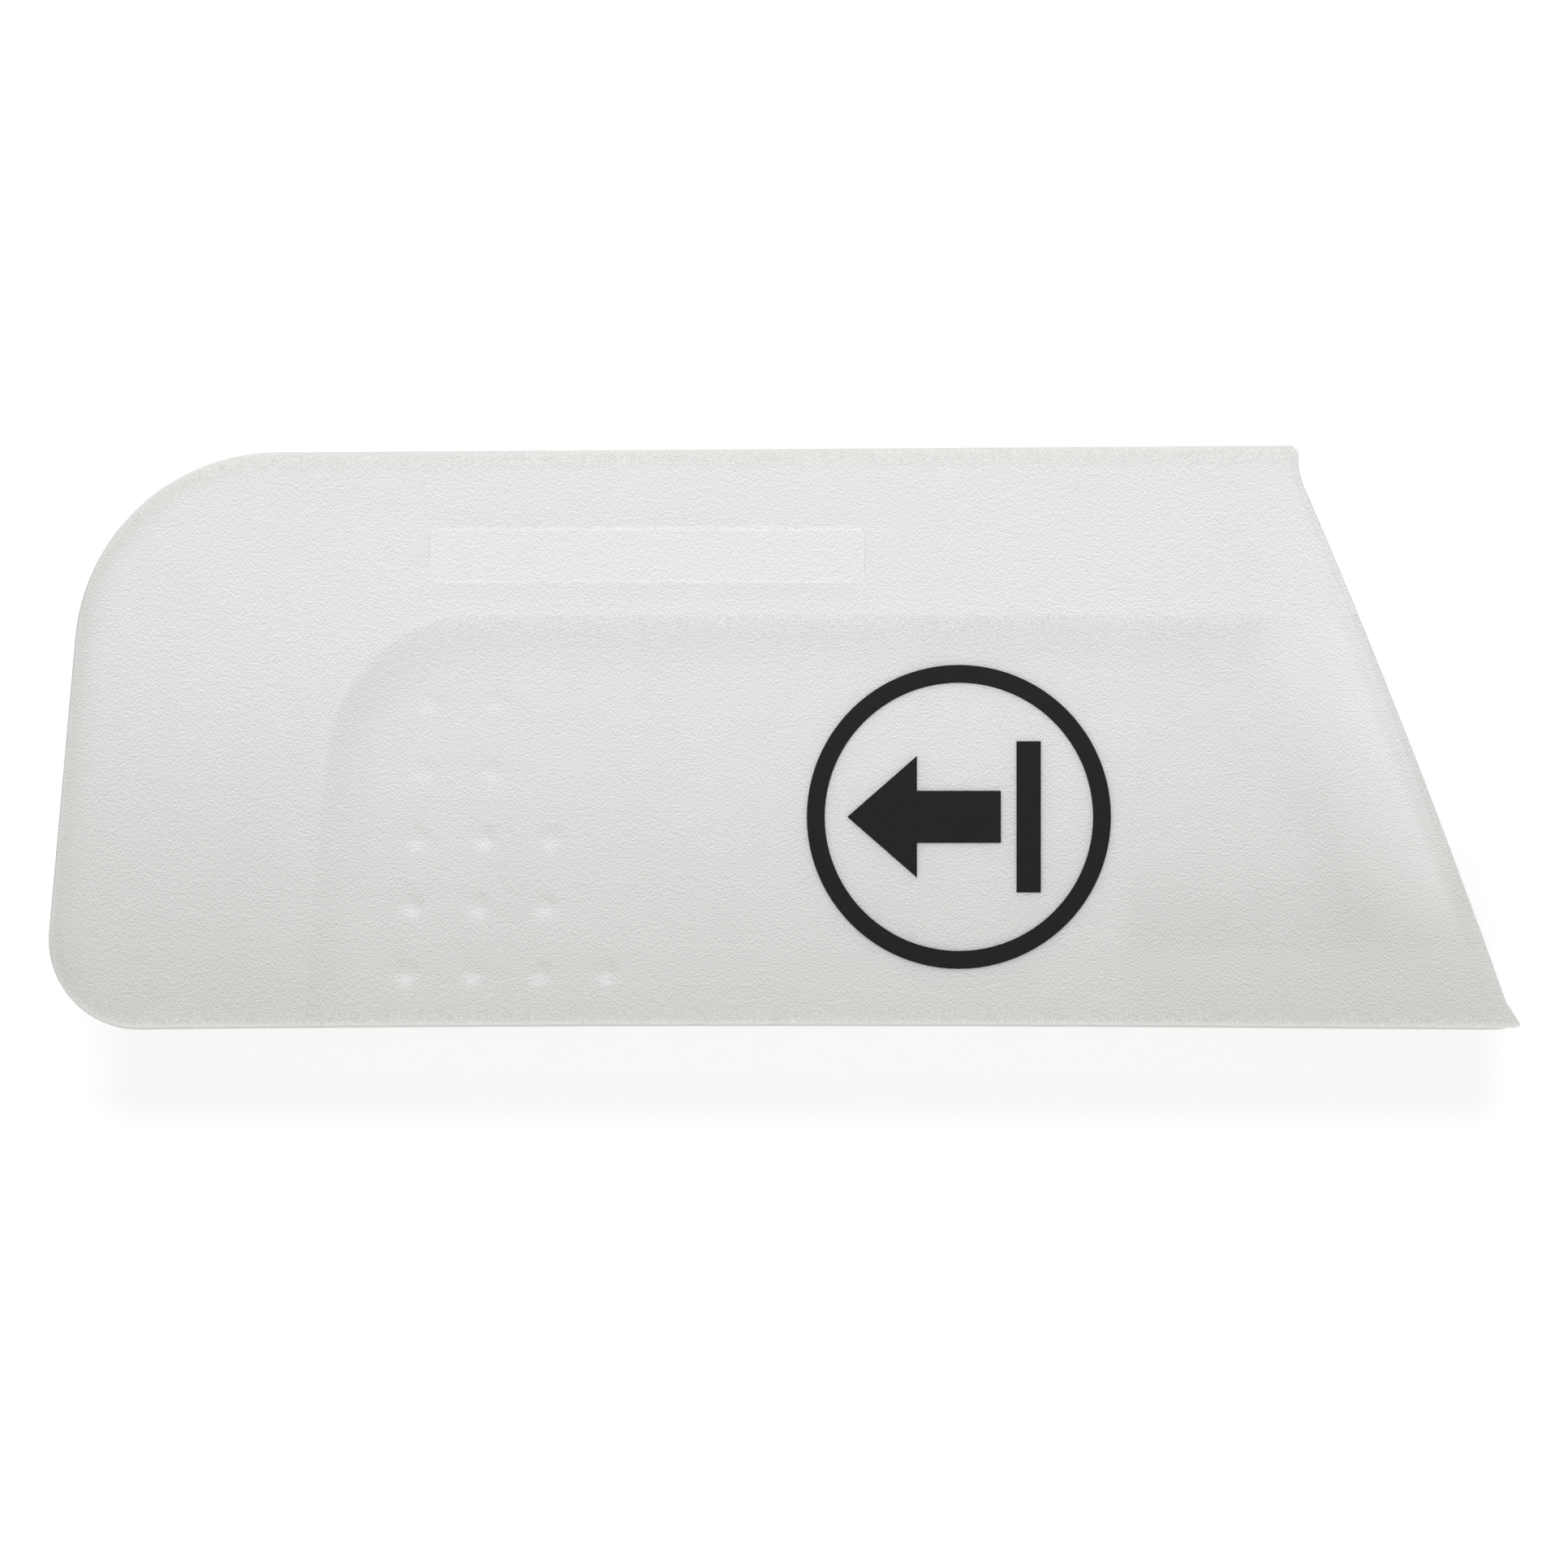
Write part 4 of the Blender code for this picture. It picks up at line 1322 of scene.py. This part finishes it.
def cheek_valley(nodes, y, to_mouth):
    """The hollow at the foot of the cheek is darker, as painted shade."""
    from_middle = nodes.math("ABSOLUTE", nodes.math("ADD", to_mouth, VALLEY_MIDDLE))
    return nodes.product(
        nodes.ramp(from_middle, 0, VALLEY_HALF, CHEEK_VALLEY, 0, smooth=True),
        nodes.rise(y, *VALLEY_RISE_Y),
        nodes.fall(y, *VALLEY_FALL_Y),
    )


def mouth_line_shade(nodes, y):
    """A thin line along the rounded edge of the mouth is darker, as painted shade."""
    distance = nodes.attribute(MOUTH_LAYER)
    from_middle = nodes.math("ABSOLUTE", nodes.math("SUBTRACT", distance, MOUTH_LINE_MIDDLE))
    line = nodes.ramp(from_middle, 0, MOUTH_LINE_HALF, MOUTH_LINE, 0, smooth=True)
    return nodes.product(line, nodes.rise(y, *MOUTH_LINE_Y))


def surface_shade(nodes, place):
    """Painted shade and glow of the wall by its place, for what lies behind it and for its soft edges.
    """
    x, y, _ = nodes.parts(place)
    inset = nodes.attribute(RECESS_LAYER)
    low, high = mouth_line(0), mouth_line(1)
    slope = (high.x - low.x) / (high.y - low.y)
    to_mouth = nodes.beyond_line(x, y, low.x - low.y * slope, slope)
    in_pocket = nodes.rise(inset, 0, BORDER_WIDTH)
    in_recess = nodes.rise(inset, -SOFT_LINE / 2, SOFT_LINE / 2)
    shade = nodes.blend(in_pocket, 1.0, inner_shade(nodes, x, y))
    glow = nodes.product(mouth_glow(nodes, y, to_mouth), nodes.blend(in_recess, BAND_GLOW, 1.0))
    shade = nodes.math("ADD", shade, glow)
    darks = (
        nodes.product(cheek_valley(nodes, y, to_mouth), in_recess),
        border_shade(nodes, x, y, inset, in_recess, to_mouth),
        mouth_line_shade(nodes, y),
    )
    for dark in darks:
        shade = nodes.math("SUBTRACT", shade, dark)
    return shade


def wall_shade(nodes, place):
    """Painted light and shade by the way that the surface faces.

    The rounded rim is brighter, as painted glow for light that shines through it, and the walls
    below it are much darker, as painted shade, apart from the back's. What faces the back is a
    little darker, but has a painted glint in the dimples."""
    normal = nodes.add("ShaderNodeNewGeometry").outputs["Normal"]
    _, towards_back, upwards = nodes.parts(normal)
    _, y, z = nodes.parts(place)
    upright = nodes.math("ABSOLUTE", upwards)
    from_parting = nodes.math("ABSOLUTE", nodes.math("SUBTRACT", z, PARTING_Z))
    glow = nodes.product(
        nodes.ramp(upright, 0, WALL_GLOW_TURN, WALL_GLOW, 0, smooth=True),
        nodes.fall(from_parting, *WALL_GLOW_Z),
    )
    dark = nodes.product(
        nodes.ramp(upright, *WALL_DARK_TURN, WALL_DARK, 0),
        nodes.ramp(towards_back, *WALL_DARK_BACK, 1, 0),
    )
    glint = nodes.product(
        nodes.math("MAXIMUM", towards_back),
        nodes.attribute(SMOOTH_GLINT_LAYER),
        nodes.ramp(y, *SPOT_GLINT_Y, *SPOT_GLINT),
    )
    back_shade = nodes.ramp(towards_back, *BACK_SHADE_TURN, 1, 1 - BACK_SHADE, smooth=True)
    total = nodes.math("ADD", nodes.math("SUBTRACT", glow, dark), glint)
    return nodes.math("ADD", total, back_shade)


def new_material(name):
    """An empty material, its nodes, and the place on the object as a value for them."""
    material = bpy.data.materials.new(name)
    material.use_nodes = True
    nodes = Nodes(material.node_tree)
    return material, nodes, nodes.add("ShaderNodeTexCoord").outputs["Object"]


def shell_plastic(finish):
    """Pale, slightly translucent plastic with a fine spark-eroded grain, and painted light and shade.
    """
    material, nodes, place = new_material("cap_plastic")
    narrowed = nodes.vector("MULTIPLY", {0: place, 1: GRAIN_NARROWING})
    shifted = nodes.vector("ADD", {0: narrowed, 1: RELIEF_SHIFT})
    grain = nodes.noise(narrowed, finish.grain_size, GRAIN_DETAIL)
    shifted_grain = nodes.noise(shifted, finish.grain_size, GRAIN_DETAIL)
    pits = nodes.noise(place, finish.grain_size * PIT_SIZE, PIT_DETAIL)
    texture = nodes.math("ADD", grain, nodes.product(pits, PIT_DEPTH))
    # The grain's slopes that face the back are lighter and the others darker: painted light and shade
    relief = nodes.math("SUBTRACT", grain, shifted_grain)
    shade = nodes.product(
        nodes.ramp(relief, -RELIEF_SPREAD, RELIEF_SPREAD, 1 - GRAIN_PAINTED_SHADE, 1 + GRAIN_PAINTED_SHADE),
        nodes.varied(nodes.noise(place, CLOUD_SIZE), 1, CLOUD),
        surface_shade(nodes, place),
        wall_shade(nodes, place),
    )
    spot = nodes.attribute(SMOOTH_GLINT_LAYER)
    rough = nodes.varied(pits, finish.roughness, ROUGH_SPREAD)
    strength = nodes.ramp(spot, 0, 1, 1, SPOT_GRAIN)
    surface = nodes.add(
        "ShaderNodeBsdfPrincipled",
        {
            "Base Color": nodes.vector("SCALE", {0: finish.colour, "Scale": shade}),
            "Roughness": nodes.blend(spot, rough, SPOT_ROUGHNESS),
            "IOR": PLASTIC_IOR,
            "Normal": nodes.bump(texture, finish.grain_depth, strength),
            "Subsurface Weight": finish.translucency,
            "Subsurface Radius": SCATTER_COLOUR,
            "Subsurface Scale": finish.scatter_depth,
        },
        subsurface_method="RANDOM_WALK",
    )
    nodes.add("ShaderNodeOutputMaterial", {"Surface": surface.outputs["BSDF"]})
    return material


def print_ink(finish):
    """Matt black ink, a little uneven, which lets the grain below show in its gloss."""
    material, nodes, place = new_material("cap_ink")
    grain = nodes.noise(place, INK_GRAIN)
    shade = nodes.varied(nodes.noise(place, INK_PATCH), 1, INK_SPREAD)
    surface = nodes.add(
        "ShaderNodeBsdfPrincipled",
        {
            "Base Color": nodes.vector("SCALE", {0: finish.colour, "Scale": shade}),
            "Roughness": nodes.varied(grain, finish.roughness, ROUGH_SPREAD),
            "Specular IOR Level": INK_GLOSS,
            "Normal": nodes.bump(grain, INK_DEPTH),
        },
    )
    nodes.add("ShaderNodeOutputMaterial", {"Surface": surface.outputs["BSDF"]})
    return material


def floor_material():
    """White table that is lifted to white where it is seen and keeps the cap's soft shadow.

    A painted shadow, a soft grey patch, lies below the cap's edge, as in the photograph."""
    material, nodes, place = new_material("table_white")
    x, y, _ = nodes.parts(place)
    # Painted shadow: the table's lift is lowered in a soft patch below the cap's edge
    painted_shadow = nodes.product(
        nodes.ramp(y, SHADOW_PATCH_LOW_Y, SHADOW_PATCH_HIGH_Y, 0, TABLE_PAINTED_SHADOW, smooth=True),
        nodes.ramp(y, SHADOW_PATCH_HIGH_Y, 0, 1, 0),
        nodes.rise(x, *SHADOW_PATCH_LEFT_X),
        nodes.fall(x, *SHADOW_PATCH_RIGHT_X),
    )
    lift = nodes.math("SUBTRACT", TABLE_LIFT, painted_shadow)
    plain = nodes.add("ShaderNodeBsdfDiffuse", {"Color": opaque_grey(TABLE_WHITE)})
    shaded = nodes.add("ShaderNodeBsdfDiffuse", {"Color": opaque_grey(TABLE_SHADE)})
    lifted = nodes.add("ShaderNodeEmission", {"Color": opaque_grey(1.0), "Strength": lift})
    seen = nodes.add("ShaderNodeAddShader", {0: shaded.outputs["BSDF"], 1: lifted.outputs["Emission"]})
    surface = with_background(nodes, plain.outputs["BSDF"], seen.outputs["Shader"])
    nodes.add("ShaderNodeOutputMaterial", {"Surface": surface})
    return material


def table():
    """A wide, flat, round table, just below the cap."""
    shape = bmesh.new()
    ring = [
        shape.verts.new((place.x, place.y, -TABLE_GAP))
        for place in circle_outline(Vector((0, 0)), TABLE_RADIUS, TABLE_STEPS)
    ]
    middle = shape.verts.new((0, 0, -TABLE_GAP))
    for index in range(len(ring)):
        shape.faces.new((ring[index - 1], ring[index], middle))
    solid = linked("table", new_mesh("table", shape))
    solid.data.materials.append(floor_material())
    return solid


def studio_world(look):
    """Soft light from the long sides and from the walls all round, and plain white behind."""
    world = bpy.data.worlds.new("studio")
    bpy.context.scene.world = world
    world.use_nodes = True
    nodes = Nodes(world.node_tree)
    direction = nodes.add("ShaderNodeTexCoord").outputs["Generated"]
    _, y, z = nodes.parts(direction)
    lowness = nodes.math("SUBTRACT", 1.0, nodes.math("MAXIMUM", z))
    lights = (
        (nodes.math("ABSOLUTE", y), SIDE_FALLOFF, look.side_strength),
        (lowness, HORIZON_FALLOFF, look.horizon_strength),
    )
    strength = 0.0
    for reach, falloff, brightness in lights:
        light = nodes.product(nodes.math("POWER", reach, falloff), brightness)
        strength = nodes.math("ADD", light, strength)
    dome = nodes.add("ShaderNodeBackground", {"Color": (*DOME_COLOUR, 1.0), "Strength": strength})
    white = nodes.add("ShaderNodeBackground", {"Color": opaque_grey(1.0), "Strength": 1.0})
    surface = with_background(nodes, dome.outputs["Background"], white.outputs["Background"])
    nodes.add("ShaderNodeOutputWorld", {"Surface": surface})


def soft_lamp(name, place, length, width, power, colour):
    """A rectangular soft light that faces down and that the camera doesn't see."""
    lamp = bpy.data.lights.new(name, "AREA")
    lamp.shape = "RECTANGLE"
    lamp.size = length
    lamp.size_y = width
    lamp.energy = power
    lamp.color = colour
    holder = linked(name, lamp)
    holder.location = place
    holder.visible_camera = False


def soft_lamps(look):
    """A softbox overhead, and a long strip close above the back that fades towards the edge."""
    overhead = (0, 0, SOFTBOX_HEIGHT)
    above_back = (STRIP_X, STRIP_Y, look.strip_height)
    soft_lamp("softbox", overhead, SOFTBOX_SIZE, SOFTBOX_SIZE, look.softbox_power, DOME_COLOUR)
    soft_lamp("strip", above_back, STRIP_LENGTH, STRIP_WIDTH, look.strip_power, STRIP_COLOUR)


def photo_camera(distance):
    """A camera straight above, whose frame is as wide at the parting plane as the photograph."""
    data = bpy.data.cameras.new("photo")
    data.sensor_width = SENSOR_WIDTH
    data.lens = SENSOR_WIDTH * (distance - PARTING_Z) / PHOTO_WIDTH
    data.clip_end = 2 * distance
    camera = linked("photo", data)
    camera.location = (0, PHOTO_CENTRE_Y, distance)
    bpy.context.scene.camera = camera


class BLADECAP_OT_front_half(bpy.types.Operator):
    """Builds the front half of the casing, with the dimples and the blank plate"""

    bl_idname = "blade_cap.front_half"
    bl_label = "Front half"

    def execute(self, context):
        scene = context.scene
        material = shell_plastic(scene.blade_cap_finish)
        solid = half_shell("front_casing", FRONT, scene.blade_cap_shape, material)
        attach(solid, "root")
        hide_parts("front_shell")
        return {"FINISHED"}


class BLADECAP_OT_rear_half(bpy.types.Operator):
    """Builds the rear half of the casing, whose outside mirrors the front's but has no plate"""

    bl_idname = "blade_cap.rear_half"
    bl_label = "Rear half"

    def execute(self, context):
        scene = context.scene
        material = bpy.data.materials["cap_plastic"]
        solid = half_shell("rear_casing", REAR, scene.blade_cap_shape, material)
        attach(solid, "root")
        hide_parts("rear_shell")
        return {"FINISHED"}


class BLADECAP_OT_print(bpy.types.Operator):
    """Gives the printed ring, arrow and bar their ink"""

    bl_idname = "blade_cap.print_marks"
    bl_label = "Printed mark"

    def execute(self, context):
        material = print_ink(context.scene.blade_cap_ink)
        for name in PRINTED_NODES:
            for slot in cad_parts[name].material_slots:
                slot.material = material
        return {"FINISHED"}


class BLADECAP_OT_stage(bpy.types.Operator):
    """Sets up the table, the light and the camera"""

    bl_idname = "blade_cap.stage"
    bl_label = "Stage"

    def execute(self, context):
        look = context.scene.blade_cap_studio
        table()
        studio_world(look)
        soft_lamps(look)
        photo_camera(look.camera_distance)
        context.scene.view_settings.view_transform = "Standard"
        return {"FINISHED"}


class BLADECAP_PT_panel(bpy.types.Panel):
    """Sizes, colours and pieces of the blade cap"""

    bl_idname = "BLADECAP_PT_panel"
    bl_label = "Blade cap"
    bl_space_type = "VIEW_3D"
    bl_region_type = "UI"
    bl_category = "Blade cap"

    def draw(self, context):
        layout = self.layout
        for group, owner in SETTINGS:
            box = layout.box()
            settings = getattr(context.scene, owner)
            for name in group.__annotations__:
                box.prop(settings, name)
        for operator in OPERATORS:
            layout.operator(operator.bl_idname)


SETTINGS = (
    (CapShape, "blade_cap_shape"),
    (ShellFinish, "blade_cap_finish"),
    (InkFinish, "blade_cap_ink"),
    (StudioLook, "blade_cap_studio"),
)
OPERATORS = (
    BLADECAP_OT_front_half,
    BLADECAP_OT_rear_half,
    BLADECAP_OT_print,
    BLADECAP_OT_stage,
)


def register():
    for group, owner in SETTINGS:
        bpy.utils.register_class(group)
        setattr(bpy.types.Scene, owner, PointerProperty(type=group))
    for operator in OPERATORS:
        bpy.utils.register_class(operator)
    bpy.utils.register_class(BLADECAP_PT_panel)


def unregister():
    bpy.utils.unregister_class(BLADECAP_PT_panel)
    for operator in reversed(OPERATORS):
        bpy.utils.unregister_class(operator)
    for group, owner in reversed(SETTINGS):
        delattr(bpy.types.Scene, owner)
        bpy.utils.unregister_class(group)


def main():
    register()
    bpy.ops.blade_cap.front_half()
    bpy.ops.blade_cap.rear_half()
    bpy.ops.blade_cap.print_marks()
    bpy.ops.blade_cap.stage()


if __name__ == "__main__":
    main()
